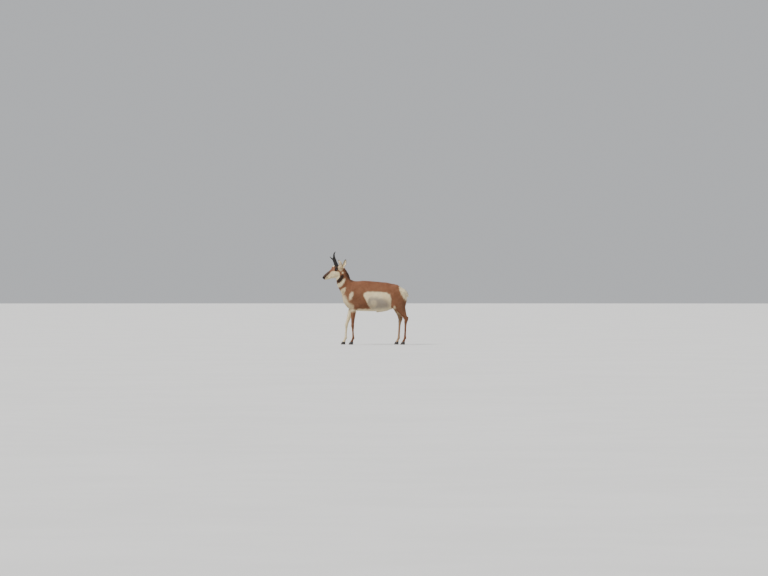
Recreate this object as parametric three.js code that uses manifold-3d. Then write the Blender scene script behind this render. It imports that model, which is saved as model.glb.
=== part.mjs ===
// A life-size pronghorn buck, standing side on with its head up, as a museum would show it.
// Millimetres. +Z is up, the nose points to -X, the buck's left side faces -Y, and the hooves stand on Z = 0.
// Flesh and coat are one smooth field of distances, built from swept parts that melt into each other.
// The field is skinned piece by piece, and thin cuts part the skin into a head, a neck, a torso and legs.

import * as THREE from "three";
import { mergeVertices } from "three/addons/utils/BufferGeometryUtils.js";
import Module from "manifold-3d";

const wasm = await Module();
wasm.setup();

// Driving sizes
const WITHERS_HEIGHT = 890;
const NOSE = { x: -594, z: 925 };
const HEAD_PITCH = THREE.MathUtils.degToRad(27.5);
const EYE = { s: 227, h: 17, y: 42, radius: 22 };
const EAR_LENGTH = 142;
const EAR_HALF_WIDTH = 33;
const EAR_THICKNESS = 4.4;
const HORN_SIDES = 10;
const CORONET_HEIGHT = 40;
const GAP = 0.3;
const BIG = 3000;

const LEFT = -1;
const RIGHT = 1;

// The bends of each leg: shoulder or hip first, then elbow or stifle, knee or hock, fetlock and coronet.
const LEGS = {
  foreleg_left: {
    bends: [
      [-232, -62, 640],
      [-165, -74, 522],
      [-176, -70, 265],
      [-170, -68, 94],
      [-190, -68, 38],
    ],
    knee: 300,
    toe: [-206, -68],
  },
  foreleg_right: {
    bends: [
      [-240, 62, 640],
      [-182, 74, 520],
      [-262, 70, 278],
      [-276, 68, 96],
      [-300, 68, 38],
    ],
    knee: 314,
    toe: [-316, 68],
  },
  hindleg_left: {
    bends: [
      [478, -70, 735],
      [455, -84, 575],
      [560, -76, 350],
      [548, -75, 96],
      [528, -75, 38],
    ],
    knee: 392,
    toe: [512, -75],
  },
  hindleg_right: {
    bends: [
      [466, 70, 735],
      [438, 85, 578],
      [480, 78, 350],
      [462, 76, 96],
      [441, 76, 38],
    ],
    knee: 392,
    toe: [425, 76],
  },
};

// Half sizes down a leg: which bone, how far down it, then behind, ahead and to each side.
const FORELEG_GIRTH = [
  [0, 0.2, 72, 70, 38],
  [0, 0.45, 74, 72, 42],
  [0, 0.75, 66, 64, 42],
  [1, 0.0, 54, 50, 38],
  [1, 0.25, 41, 39, 31],
  [1, 0.55, 29, 30, 24],
  [1, 0.85, 21, 23, 19.5],
  [2, 0.0, 21, 23, 21],
  [2, 0.14, 19, 19, 18.5],
  [2, 0.3, 15.5, 15, 14.5],
  [2, 0.58, 14, 13, 12.5],
  [2, 0.86, 15.5, 14, 14.5],
  [3, 0.0, 20, 16, 18.5],
  [3, 0.45, 15.5, 15.5, 17.5],
  [3, 0.95, 21, 21, 22],
];
const HINDLEG_GIRTH = [
  [0, 0.1, 92, 98, 44],
  [0, 0.5, 104, 102, 52],
  [0, 0.95, 105, 95, 50],
  [1, 0.14, 95, 83, 44],
  [1, 0.4, 66, 57, 32],
  [1, 0.7, 43, 31, 21],
  [1, 0.9, 36, 24, 17],
  [2, 0.0, 34, 22, 19],
  [2, 0.1, 26, 21, 19],
  [2, 0.28, 17, 16, 15],
  [2, 0.6, 14.5, 13.5, 13],
  [2, 0.88, 15.5, 14, 14.5],
  [3, 0.0, 20, 16, 18.5],
  [3, 0.45, 15.5, 15.5, 17.5],
  [3, 0.95, 21, 21, 22],
];

// Vectors
const sub = (a, b) => [a[0] - b[0], a[1] - b[1], a[2] - b[2]];
const plus = (a, b, t = 1) => [a[0] + b[0] * t, a[1] + b[1] * t, a[2] + b[2] * t];
const dot = (a, b) => a[0] * b[0] + a[1] * b[1] + a[2] * b[2];
const cross = (a, b) => [a[1] * b[2] - a[2] * b[1], a[2] * b[0] - a[0] * b[2], a[0] * b[1] - a[1] * b[0]];
const unit = (a) => plus([0, 0, 0], a, 1 / Math.hypot(...a));
const between = (a, b, t) => a.map((v, i) => v + (b[i] - v) * t);
const mirrored = ([x, y, z]) => [x, -y, z];

// A repeatable draw of numbers from 0 to 1
function draws(seed) {
  let state = seed;
  return () => {
    state = (state * 1664525 + 1013904223) % 4294967296;
    return state / 4294967296;
  };
}

// Two distances flow together over the width.
function melt(a, b, width) {
  const near = Math.max(width - Math.abs(a - b), 0) / width;
  return Math.min(a, b) - (near * near * width) / 4;
}

// A body part swept along a line of stations. A station is [centre, rise, fall, side]: its half sizes
// on the two sides within the plane of the line, and across it. Ends are rounded over a cap's length.
class Sweep {
  constructor(stations, { fine = 4, roundRise = 2, roundFall = 2, start = 10, end = 10 } = {}) {
    Object.assign(this, { roundRise, roundFall, start, end });
    const rows = stations.map(([centre, ...sizes]) => [...centre, ...sizes]);
    const curved = [];
    for (let i = 0; i + 1 < rows.length; i++) {
      const [a, b] = [rows[i], rows[i + 1]];
      const before = rows[i - 1] ?? a;
      const after = rows[i + 2] ?? b;
      for (let n = 0; n < fine; n++) {
        const t = n / fine;
        curved.push(a.map((v, c) => THREE.MathUtils.clamp(
          v + 0.5 * t * (b[c] - before[c] + t * (2 * before[c] - 5 * v + 4 * b[c] - after[c]
            + t * (3 * (v - b[c]) + after[c] - before[c]))),
          Math.min(before[c], v, b[c], after[c]),
          Math.max(before[c], v, b[c], after[c]),
        )));
      }
    }
    curved.push(rows.at(-1));
    this.at = curved.map((row) => row.slice(0, 3));
    this.size = curved.map((row) => row.slice(3));
    this.frame = this.at.map((p, i) => {
      const along = unit(sub(this.at[i + 1] ?? p, this.at[i - 1] ?? p));
      const up = unit(cross(along, [0, 1, 0]));
      return { along, up, across: cross(up, along) };
    });
    const reach = Math.max(...this.size.flat(), start, end);
    this.low = [0, 1, 2].map((c) => Math.min(...this.at.map((p) => p[c])) - reach);
    this.high = [0, 1, 2].map((c) => Math.max(...this.at.map((p) => p[c])) + reach);
  }

  // The place on the line that a point belongs to: its nearest one, blended with others that are as near
  place(p) {
    const near = [];
    let least = Infinity;
    for (let i = 0; i + 1 < this.at.length; i++) {
      const a = this.at[i];
      const b = this.at[i + 1];
      const [dx, dy, dz] = [b[0] - a[0], b[1] - a[1], b[2] - a[2]];
      const along = (p[0] - a[0]) * dx + (p[1] - a[1]) * dy + (p[2] - a[2]) * dz;
      const t = along / (dx * dx + dy * dy + dz * dz);
      const k = t < 0 ? 0 : t > 1 ? 1 : t;
      const d = (p[0] - a[0] - dx * k) ** 2 + (p[1] - a[1] - dy * k) ** 2 + (p[2] - a[2] - dz * k) ** 2;
      near.push(d, i + k);
      if (d < least) least = d;
    }
    let sum = 0;
    let weight = 0;
    for (let i = 0; i < near.length; i += 2) {
      const share = Math.exp((least - near[i]) / (0.09 * least + 4));
      sum += share * near[i + 1];
      weight += share;
    }
    return sum / weight;
  }

  distance(p) {
    const off = Math.max(...p.map((v, c) => Math.max(this.low[c] - v, v - this.high[c])));
    if (off > 90) return off;
    const place = this.place(p);
    const n = Math.min(Math.floor(place), this.at.length - 2);
    const share = place - n;
    const [f, g] = [this.frame[n], this.frame[n + 1]];
    const [rise, fall, side] = between(this.size[n], this.size[n + 1], share);
    const d = sub(p, between(this.at[n], this.at[n + 1], share));
    const up = dot(d, between(f.up, g.up, share));
    const across = dot(d, between(f.across, g.across, share));
    const power = up > 0 ? this.roundRise : this.roundFall;
    const first = place < this.at.length / 2;
    const beyond = Math.max(0, first
      ? -dot(sub(p, this.at[0]), this.frame[0].along)
      : dot(sub(p, this.at.at(-1)), this.frame.at(-1).along));
    const sum = Math.abs(up / (up > 0 ? rise : fall)) ** power + Math.abs(across / side) ** power
      + (beyond / (first ? this.start : this.end)) ** power;
    const ratio = sum ** (1 / power);
    return ratio < 1e-3 ? -Math.min(rise, side) : Math.hypot(up, across, beyond) * (1 - 1 / ratio);
  }

  // The same shape as rings of points, closed at both ends
  solid(sides) {
    const rings = this.at.map((centre, i) => {
      const { up, across } = this.frame[i];
      const [rise, fall, side] = this.size[i];
      return Array.from({ length: sides }, (_, n) => {
        const angle = (2 * Math.PI * n) / sides;
        const s = Math.sin(angle);
        return plus(plus(centre, across, side * Math.cos(angle)), up, s * (s > 0 ? rise : fall));
      });
    });
    return loft(rings);
  }
}

// An oval lump with its own tilt in the X-Z plane
class Lump {
  constructor(centre, radii, tilt = 0) {
    Object.assign(this, { centre, radii });
    this.c = Math.cos(tilt);
    this.s = Math.sin(tilt);
  }

  distance(p) {
    const [dx, dy, dz] = sub(p, this.centre);
    const d = [dx * this.c + dz * this.s, dy, dz * this.c - dx * this.s];
    const size = Math.hypot(...d);
    const ratio = Math.hypot(d[0] / this.radii[0], d[1] / this.radii[1], d[2] / this.radii[2]);
    return ratio < 1e-4 ? -Math.min(...this.radii) : size * (1 - 1 / ratio);
  }
}

// Solids
function solidOf(geometry) {
  const bare = geometry.clone();
  bare.deleteAttribute("normal");
  bare.deleteAttribute("uv");
  const merged = mergeVertices(bare, 1e-3);
  return new wasm.Manifold(new wasm.Mesh({
    numProp: 3,
    vertProperties: new Float32Array(merged.attributes.position.array),
    triVerts: new Uint32Array(merged.index.array),
  }));
}

function solidFrom(points, triangles) {
  return new wasm.Manifold(new wasm.Mesh({
    numProp: 3,
    vertProperties: new Float32Array(points.flat()),
    triVerts: new Uint32Array(triangles.flat()),
  }));
}

function geometryOf(solid) {
  const mesh = solid.getMesh();
  const geometry = new THREE.BufferGeometry();
  geometry.setAttribute("position", new THREE.BufferAttribute(new Float32Array(mesh.vertProperties), 3));
  geometry.setIndex(new THREE.BufferAttribute(new Uint32Array(mesh.triVerts), 1));
  geometry.computeVertexNormals();
  return geometry;
}

// Rings of points, joined one to the next and closed by a fan at each end
function loft(rings) {
  const sides = rings[0].length;
  const points = rings.flat();
  const triangles = [];
  for (let r = 0; r + 1 < rings.length; r++) {
    for (let n = 0; n < sides; n++) {
      const a = r * sides + n;
      const b = r * sides + ((n + 1) % sides);
      triangles.push([a, b, b + sides], [a, b + sides, a + sides]);
    }
  }
  const middle = (ring) => ring.reduce((sum, p) => plus(sum, p, 1 / sides), [0, 0, 0]);
  const first = points.push(middle(rings[0])) - 1;
  const last = points.push(middle(rings.at(-1))) - 1;
  const end = (rings.length - 1) * sides;
  for (let n = 0; n < sides; n++) {
    triangles.push([first, (n + 1) % sides, n], [last, end + n, end + ((n + 1) % sides)]);
  }
  const made = solidFrom(points, triangles);
  return made.volume() < 0 ? solidFrom(points, triangles.map(([a, b, c]) => [a, c, b])) : made;
}

// A solid swollen by a little, so that what is cut by it keeps a gap
function swollen(solid, by = GAP * 1.3) {
  const geometry = geometryOf(solid);
  const { position, normal } = geometry.attributes;
  for (let i = 0; i < position.count; i++) {
    position.setXYZ(
      i,
      position.getX(i) + normal.getX(i) * by,
      position.getY(i) + normal.getY(i) * by,
      position.getZ(i) + normal.getZ(i) * by,
    );
  }
  return solidOf(geometry);
}

function largest(solid) {
  return solid.decompose().reduce((a, b) => (b.volume() > a.volume() ? b : a));
}

// The same solid with its shortest edges drawn in to a point, since cuts leave corners that all but touch
function welded(solid, near = 0.1) {
  const { vertProperties, triVerts } = solid.getMesh();
  const count = vertProperties.length / 3;
  const points = Array.from({ length: count }, (_, i) => [...vertProperties.slice(3 * i, 3 * i + 3)]);
  const faces = Array.from({ length: triVerts.length / 3 }, (_, i) => [...triVerts.slice(3 * i, 3 * i + 3)]);
  const facesOf = points.map(() => new Set());
  faces.forEach((face, f) => face.forEach((v) => facesOf[v].add(f)));
  const ring = (v) => new Set([...facesOf[v]].flatMap((f) => faces[f]).filter((n) => n !== v));
  for (let a = 0; a < count; a++) {
    for (const b of ring(a)) {
      if (Math.hypot(...sub(points[a], points[b])) > near) continue;
      const others = ring(b);
      if ([...ring(a)].filter((n) => others.has(n)).length !== 2) continue;
      for (const f of [...facesOf[b]]) {
        facesOf[b].delete(f);
        if (faces[f].includes(a)) {
          faces[f].forEach((v) => facesOf[v].delete(f));
          faces[f] = null;
        } else {
          faces[f][faces[f].indexOf(b)] = a;
          facesOf[a].add(f);
        }
      }
    }
  }
  return solidFrom(points, faces.filter(Boolean));
}

function block(low, high) {
  const box = new THREE.BoxGeometry(...sub(high, low));
  box.translate(...between(low, high, 0.5));
  return solidOf(box);
}

// Everything on the side of a plane that its normal points to
function halfSpace(point, normal) {
  const box = new THREE.BoxGeometry(BIG, BIG, BIG);
  box.translate(0, 0, BIG / 2);
  box.applyQuaternion(new THREE.Quaternion().setFromUnitVectors(
    new THREE.Vector3(0, 0, 1),
    new THREE.Vector3(...unit(normal)),
  ));
  box.translate(...point);
  return solidOf(box);
}

// The closed surface where a field is zero: one point in each cell that it crosses, slid onto the surface.
// The cells lie in a frame of their own, tilted in the X-Z plane about a pivot.
function skinOf(world, low, high, cell, { pivot = [0, 0, 0], tilt = 0 } = {}) {
  const c0 = Math.cos(tilt);
  const s0 = Math.sin(tilt);
  const out = ([x, y, z]) => [pivot[0] + x * c0 - z * s0, pivot[1] + y, pivot[2] + x * s0 + z * c0];
  const field = (p) => world(out(p));
  const count = low.map((v, c) => Math.ceil((high[c] - v) / cell[c]) + 1);
  const place = (i, j, k) => [low[0] + i * cell[0], low[1] + j * cell[1], low[2] + k * cell[2]];
  const index = (i, j, k) => i + count[0] * (j + count[1] * k);
  const value = new Float32Array(count[0] * count[1] * count[2]);
  const rim = (i, j, k) => [i, j, k].some((n, c) => n === 0 || n === count[c] - 1);
  const grid = (visit, less) => {
    for (let k = 0; k < count[2] - less; k++)
      for (let j = 0; j < count[1] - less; j++)
        for (let i = 0; i < count[0] - less; i++) visit(i, j, k);
  };
  grid((i, j, k) => {
    const v = field(place(i, j, k));
    value[index(i, j, k)] = rim(i, j, k) ? Math.max(v, cell[0]) : v || 1e-4;
  }, 0);

  const corners = [0, 1, 2, 3, 4, 5, 6, 7].map((n) => [n & 1, (n >> 1) & 1, n >> 2]);
  const edges = corners.flatMap((a, m) => corners.slice(m + 1)
    .filter((b) => a.reduce((sum, v, c) => sum + Math.abs(v - b[c]), 0) === 1).map((b) => [a, b]));
  const pointIn = new Int32Array(value.length).fill(-1);
  const points = [];
  const free = [];
  grid((i, j, k) => {
    const crossed = [];
    for (const [a, b] of edges) {
      const va = value[index(i + a[0], j + a[1], k + a[2])];
      const vb = value[index(i + b[0], j + b[1], k + b[2])];
      if (va < 0 !== vb < 0) crossed.push(between(a, b, va / (va - vb)));
    }
    if (!crossed.length) return;
    const mean = crossed.reduce((sum, p) => plus(sum, p, 1 / crossed.length), [0, 0, 0]);
    pointIn[index(i, j, k)] = points.push(place(i + mean[0], j + mean[1], k + mean[2])) - 1;
    free.push(!corners.some(([a, b, c]) => rim(i + a, j + b, k + c)));
  }, 1);

  const triangles = [];
  grid((i, j, k) => {
    const here = value[index(i, j, k)] < 0;
    for (let c = 0; c < 3; c++) {
      const step = [0, 1, 2].map((n) => (n === c ? 1 : 0));
      const next = [i + step[0], j + step[1], k + step[2]];
      if (next[c] >= count[c]) continue;
      if (here === value[index(...next)] < 0) continue;
      const [u, v] = [(c + 1) % 3, (c + 2) % 3];
      const around = [[0, 0], [1, 0], [1, 1], [0, 1]].map(([a, b]) => {
        const q = [i, j, k];
        q[u] -= a;
        q[v] -= b;
        return pointIn[index(...q)];
      });
      const quad = here ? around : around.reverse();
      const near = Math.hypot(...sub(points[quad[0]], points[quad[2]]));
      const far = Math.hypot(...sub(points[quad[1]], points[quad[3]]));
      if (near < far) triangles.push([quad[0], quad[1], quad[2]], [quad[0], quad[2], quad[3]]);
      else triangles.push([quad[1], quad[2], quad[3]], [quad[1], quad[3], quad[0]]);
    }
  }, 0);

  // Where two sheets of skin run through one cell the net pinches, so the cells are shifted and laid again.
  const seen = new Set();
  for (const [a, b, c] of triangles) {
    for (const [from, to] of [[a, b], [b, c], [c, a]]) {
      const edge = from * points.length + to;
      if (seen.has(edge)) {
        const nudged = low.map((v, n) => v - cell[n] * 0.31);
        return skinOf(world, nudged, high, cell, { pivot, tilt });
      }
      seen.add(edge);
    }
  }

  const longest = Math.min(...cell) * 0.6;
  for (let round = 0; round < 3; round++) {
    points.forEach((p, n) => {
      if (!free[n]) return;
      const v = field(p);
      const slope = [0, 1, 2].map((c) => {
        const e = [0, 1, 2].map((m) => (m === c ? 0.5 : 0));
        return field(plus(p, e)) - field(plus(p, e, -1));
      });
      const steep = dot(slope, slope);
      if (steep < 0.04) return;
      const move = THREE.MathUtils.clamp(-v / Math.sqrt(steep), -longest, longest);
      points[n] = plus(p, unit(slope), move);
    });
  }
  return solidFrom(points.map(out), triangles);
}

// The trunk: [how far back, top, widest level, bottom, half width]
const TRUNK = [
  [-256, 796, 692, 594, 68],
  [-203, 862, 672, 512, 95],
  [-125, WITHERS_HEIGHT, 652, 474, 114],
  [0, 888, 638, 465, 131],
  [120, 880, 640, 463, 141],
  [240, 873, 646, 467, 138],
  [340, 871, 668, 494, 125],
  [430, 841, 692, 560, 111],
  [508, 782, 692, 612, 92],
];
const trunk = new Sweep(
  TRUNK.map(([x, top, middle, bottom, half]) => [[x, 0, middle], top - middle, middle - bottom, half]),
  { roundRise: 1.75, roundFall: 2.05, start: 30, end: 64 },
);

// The neck: [x, z, towards the throat, towards the nape, half width]
const NECK = [
  [-100, 715, 140, 112, 92],
  [-195, 772, 150, 118, 88],
  [-286, 856, 112, 92, 66],
  [-318, 925, 90, 82, 58],
  [-322, 985, 70, 68, 53],
  [-330, 1025, 48, 52, 46],
];
const neck = new Sweep(
  NECK.map(([x, z, throat, nape, half]) => [[x, 0, z], throat, nape, half]),
  { roundRise: 2, roundFall: 1.8, start: 60, end: 36 },
);

// A place on the head: s along it from the nose, h above its axis, y across
function onHead(s, h, y = 0) {
  const c = Math.cos(HEAD_PITCH);
  const r = Math.sin(HEAD_PITCH);
  return [NOSE.x + s * c - h * r, y, NOSE.z + s * r + h * c];
}

// The head above the mouth: [from the nose, top, widest level, bottom, half width]
const SKULL = [
  [9, 11, -4, -18, 17],
  [20, 21, -4, -25, 24],
  [36, 29, -4, -30, 28],
  [62, 36, -4, -34, 30],
  [96, 42, -4, -46, 35],
  [132, 49, -2, -64, 41],
  [166, 58, 0, -78, 46],
  [200, 68, 4, -84, 50],
  [236, 73, 8, -77, 51],
  [268, 63, 6, -58, 48],
  [296, 43, 4, -38, 41],
];
const skull = new Sweep(
  SKULL.map(([s, top, middle, bottom, half]) => [onHead(s, middle), top - middle, middle - bottom, half]),
  { roundRise: 2.1, roundFall: 1.9, start: 9, end: 26 },
);
// The lower jaw: [from the nose, level, half height, half width]
const JAW = [
  [22, -30, 9, 14],
  [40, -34, 11, 19],
  [70, -39, 13, 22],
  [110, -47, 16, 27],
  [150, -57, 19, 32],
  [190, -62, 20, 36],
  [218, -58, 20, 37],
];
const jaw = new Sweep(
  JAW.map(([s, h, half, wide]) => [onHead(s, h), half, half, wide]),
  { start: 9, end: 22 },
);

// Muscles and bones that show under the coat: centre, radii, tilt and how far they melt. y is mirrored.
const RELIEF = [
  [[-182, 72, 668], [56, 34, 118], -0.4, 44],
  [[-246, 62, 645], [40, 28, 44], 0, 36],
  [[-190, 78, 590], [50, 32, 62], -0.5, 40],
  [[392, 68, 776], [70, 24, 36], 0.35, 60],
  [[446, 66, 716], [90, 34, 72], 0.2, 60],
  [[512, 66, 630], [52, 36, 96], 0.12, 50],
  [[-276, 0, 655], [34, 50, 60], 0.25, 34],
  [[236, 0, 466], [60, 14, 12], 0.09, 34],
  [[452, 0, 558], [26, 26, 32], 0, 26],
];
const HEAD_RELIEF = [
  [[EYE.s, EYE.h, 41], [30, 21, 24], 18],
  [[236, 55, 34], [27, 20, 14], 28],
  [[206, 54, 0], [28, 20, 28], 26],
  [[206, -36, 32], [50, 16, 38], 30],
  [[130, -38, 16], [52, 17, 20], 26],
  [[282, 22, 32], [22, 18, 18], 36],
  [[15, 0, 13], [14, 12, 12], 16],
];
// The nape's crest, under the mane
const crest = new Sweep([
  [[-306, 0, 1052], 14, 16, 18],
  [[-276, 0, 1007], 17, 17, 21],
  [[-257, 0, 957], 19, 19, 24],
  [[-236, 0, 900], 16, 16, 24],
  [[-180, 0, 866], 10, 10, 20],
], { start: 20, end: 20 });
const relief = RELIEF.map(([centre, radii, tilt, width]) => ({ lump: new Lump(centre, radii, tilt), width }));
const headRelief = HEAD_RELIEF.map(([[s, h, y], radii, width]) => ({
  lump: new Lump(onHead(s, h, y), radii, HEAD_PITCH),
  width,
}));

// Legs, with the point of each elbow, hock and stifle
function legSweep({ bends }, girth) {
  return new Sweep(
    girth.map(([bone, share, behind, ahead, side]) => [
      between(bends[bone], bends[bone + 1], share), behind, ahead, side,
    ]),
    { start: 50, end: 14 },
  );
}
const legs = Object.entries(LEGS).map(([name, leg]) => {
  const fore = name.startsWith("fore");
  const [, second, third] = leg.bends;
  const joints = fore
    ? [{ lump: new Lump(plus(second, [44, 0, 22]), [18, 15, 20]), width: 26 }]
    : [
      { lump: new Lump(plus(third, [20, 0, 18]), [15, 12, 22], -0.3), width: 14 },
      { lump: new Lump(plus(second, [-70, 0, -28]), [24, 28, 34]), width: 30 },
    ];
  return { name, sweep: legSweep(leg, fore ? FORELEG_GIRTH : HINDLEG_GIRTH), joints, fore };
});

function legField(p) {
  return legs.map(({ sweep, joints }) =>
    joints.reduce((d, { lump, width }) => melt(d, lump.distance(p), width), sweep.distance(p)));
}

function headField(p) {
  const half = [p[0], Math.abs(p[1]), p[2]];
  const d = headRelief.reduce((v, { lump, width }) => melt(v, lump.distance(half), width), skull.distance(p));
  return melt(d, jaw.distance(p), 15);
}

function field(p) {
  const half = [p[0], Math.abs(p[1]), p[2]];
  let d = melt(melt(trunk.distance(p), neck.distance(p), 80), crest.distance(p), 30);
  for (const { lump, width } of relief) d = melt(d, lump.distance(half), width);
  for (const leg of legField(p)) d = melt(d, leg, 34);
  return melt(d, headField(p), 30);
}

// Cuts, each with the normal that points to the piece named first
const HEAD_CUT = { point: [-328, 0, 978], normal: unit([-0.69, 0, 0.72]) };
const NECK_CUT = { point: [-258, 0, 795], normal: unit([-0.84, 0, 0.54]) };
function side(cut, sign) {
  return halfSpace(plus(cut.point, cut.normal, (sign * GAP) / 2), plus([0, 0, 0], cut.normal, sign));
}

// The room of one leg, with its slanting top plane at the armpit or groin. More than 0 swells it.
function legRoom(name, more) {
  const hand = name.endsWith("left") ? LEFT : RIGHT;
  const fore = name.startsWith("fore");
  const [front, back] = fore ? [-360, -80] : [344, 700];
  const [near, far] = [GAP / 2 - more, 400];
  const inner = [front - more, hand === LEFT ? -far : near, -60];
  const outer = [back + more, hand === LEFT ? -near : far, 900];
  const point = fore ? [0, hand * 18, 466] : [350, hand * 20, 485];
  const normal = unit(fore ? [0, -hand * 0.5, 0.87] : [-0.312, -hand * 0.691, 0.651]);
  const top = halfSpace(plus(point, normal, more), plus([0, 0, 0], normal, -1));
  return block(inner, outer).intersect(top);
}

const parts = new Map();
const add = (name, solid, material) => parts.set(name, { solid: welded(largest(solid)), material });

const COATS = {
  tan: new THREE.MeshStandardMaterial({ color: 0xa9683c, roughness: 0.85 }),
  pale: new THREE.MeshStandardMaterial({ color: 0xe6dccb, roughness: 0.85 }),
  dark: new THREE.MeshStandardMaterial({ color: 0x3b2a20, roughness: 0.8 }),
};
const HORN = new THREE.MeshStandardMaterial({ color: 0x1d1916, roughness: 0.55 });
const HOOF = new THREE.MeshStandardMaterial({ color: 0x24201d, roughness: 0.45 });
const WET = new THREE.MeshStandardMaterial({ color: 0x0c0807, roughness: 0.08 });

// Torso
function torso() {
  let made = skinOf(field, [-350, -190, 420], [670, 190, 960], [40, 26, 28]);
  made = made.intersect(side(NECK_CUT, -1));
  for (const name of Object.keys(LEGS)) made = made.subtract(legRoom(name, GAP));
  return largest(made);
}

// Legs: a thigh or forearm with its own coarse skin, and a finer one below the knee or hock
function legPieces(name) {
  const { bends, knee } = LEGS[name];
  const fore = name.startsWith("fore");
  const xs = bends.map((b) => b[0]);
  const room = legRoom(name, 0);
  const y = bends[1][1];
  const [front, back] = [Math.min(...xs) - (fore ? 90 : 130), Math.max(...xs) + (fore ? 90 : 120)];
  const upperCell = fore ? [14, 13, 26] : [20, 16, 26];
  const upper = skinOf(field, [front, y - 95, knee - 50], [back, y + 95, fore ? 620 : 760], upperCell)
    .intersect(room)
    .intersect(halfSpace([0, 0, knee + GAP / 2], [0, 0, 1]));
  const lower = skinOf(field, [front, y - 60, -20], [back, y + 60, knee + 60], [10, 9.4, 24])
    .intersect(room)
    .intersect(block([-BIG, -BIG, CORONET_HEIGHT + GAP / 2], [BIG, BIG, knee - GAP / 2]));
  return [upper, lower];
}

// One claw of a hoof: rings from the coronet down to a flat sole that runs to a blunt point
function claw([toeX, footY], heel, hand) {
  const rings = [
    { z: CORONET_HEIGHT - GAP / 2, front: heel - 25, back: heel + 21, wide: 20.5 },
    { z: CORONET_HEIGHT * 0.62, front: heel - 36, back: heel + 22.5, wide: 22.5 },
    { z: 2.5, front: toeX - 28, back: heel + 20, wide: 24.5 },
    { z: 0, front: toeX - 26.5, back: heel + 19, wide: 23.6 },
  ];
  const sides = 12;
  return loft(rings.map(({ z, front, back, wide }) => Array.from({ length: sides }, (_, n) => {
    const angle = (2 * Math.PI * n) / sides;
    const ahead = Math.cos(angle);
    const out = Math.sin(angle);
    const slim = 1 - 0.28 * Math.max(ahead, 0);
    const across = out > 0 ? out * wide * slim : out * 1.6;
    const x = (front + back) / 2 - (ahead * (back - front)) / 2;
    return [x, footY + hand * (2.2 + across), z];
  })));
}

// Head, with mouth, nostrils, lids and the seats of the eyes
function surfaceFrom(start, direction, f) {
  let far = 0;
  while (f(plus(start, direction, far)) < 0) far += 0.5;
  return plus(start, direction, far);
}

const MOUTH = { front: 24, corner: 74, frontLevel: -24, cornerLevel: -33, deep: 6, high: 2.2 };
function mouthLine() {
  const steps = 14;
  const rings = [];
  for (let n = 0; n <= steps; n++) {
    const turn = ((2 * n) / steps - 1);
    const away = Math.abs(turn);
    const angle = (turn * Math.PI) / 2;
    const s = MOUTH.front + (MOUTH.corner - MOUTH.front) * away ** 1.6;
    const h = MOUTH.frontLevel + (MOUTH.cornerLevel - MOUTH.frontLevel) * away;
    const start = onHead(s, h);
    const out = unit(sub(onHead(s - Math.cos(angle), h, Math.sin(angle)), start));
    const edge = surfaceFrom(start, out, headField);
    const up = unit(sub(onHead(0, 1), onHead(0, 0)));
    const deep = MOUTH.deep * (1 - 0.75 * away ** 6);
    rings.push([
      plus(edge, out, -deep),
      plus(edge, up, MOUTH.high * (1 - 0.6 * away)),
      plus(edge, out, 4),
      plus(edge, up, -MOUTH.high * (1 - 0.6 * away)),
    ]);
  }
  return loft(rings);
}

function ball(centre, radius, across = 22, down = 14) {
  const sphere = new THREE.SphereGeometry(radius, across, down);
  sphere.rotateX(Math.PI / 2);
  sphere.translate(...centre);
  return solidOf(sphere);
}

// A lid: a soft rim round the almond opening of one eye, lying on the ball
const LID = { half: 18.5, tall: 12.5, thick: 3.4, lift: 1.2, steps: 16 };
function lid(hand) {
  const centre = onHead(EYE.s, EYE.h, hand * EYE.y);
  const along = unit(sub(onHead(1, 0), onHead(0, 0)));
  const up = unit(sub(onHead(0, 1), onHead(0, 0)));
  const points = Array.from({ length: LID.steps }, (_, n) => {
    const angle = (2 * Math.PI * n) / LID.steps;
    const a = LID.half * Math.cos(angle);
    const b = LID.tall * Math.sin(angle) * (1 - 0.18 * Math.cos(angle) ** 2);
    const reach = EYE.radius + LID.lift;
    const out = Math.sqrt(Math.max(reach * reach - a * a - b * b, 1));
    return plus(plus(plus(centre, along, a), up, b), [0, hand, 0], out);
  });
  const rings = points.map((p, n) => {
    const next = points[(n + 1) % LID.steps];
    const last = points.at(n - 1);
    const run = unit(sub(next, last));
    const away = unit(sub(p, centre));
    const outwards = unit(cross(run, away));
    return Array.from({ length: 6 }, (_, m) => {
      const angle = (Math.PI * m) / 3;
      return plus(plus(p, away, LID.thick * Math.cos(angle)), outwards, 1.5 * LID.thick * Math.sin(angle));
    });
  });
  const triangles = [];
  rings.forEach((ring, r) => ring.forEach((_, m) => {
    const a = r * 6 + m;
    const b = r * 6 + ((m + 1) % 6);
    const [c, d] = [a, b].map((v) => (v + 6) % (6 * LID.steps));
    triangles.push([a, b, d], [a, d, c]);
  }));
  const made = solidFrom(rings.flat(), triangles);
  return made.volume() < 0 ? solidFrom(rings.flat(), triangles.map(([a, b, c]) => [a, c, b])) : made;
}

function nostril(hand) {
  const hole = new THREE.SphereGeometry(1, 10, 8);
  hole.scale(8.5, 9, 3.4);
  hole.rotateY(-HEAD_PITCH - 0.75);
  hole.rotateZ(hand * 0.35);
  hole.translate(...onHead(10, 2, hand * 20));
  return solidOf(hole);
}

function head() {
  const frame = { pivot: [NOSE.x, 0, NOSE.z], tilt: HEAD_PITCH };
  let made = skinOf(field, [-30, -84, -150], [380, 84, 110], [13.5, 10.6, 10.8], frame);
  made = largest(made.intersect(side(HEAD_CUT, 1))).subtract(mouthLine());
  for (const hand of [LEFT, RIGHT]) {
    made = made.subtract(nostril(hand)).add(lid(hand));
    made = made.subtract(ball(onHead(EYE.s, EYE.h, hand * EYE.y), EYE.radius + GAP));
  }
  return largest(made);
}

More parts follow.
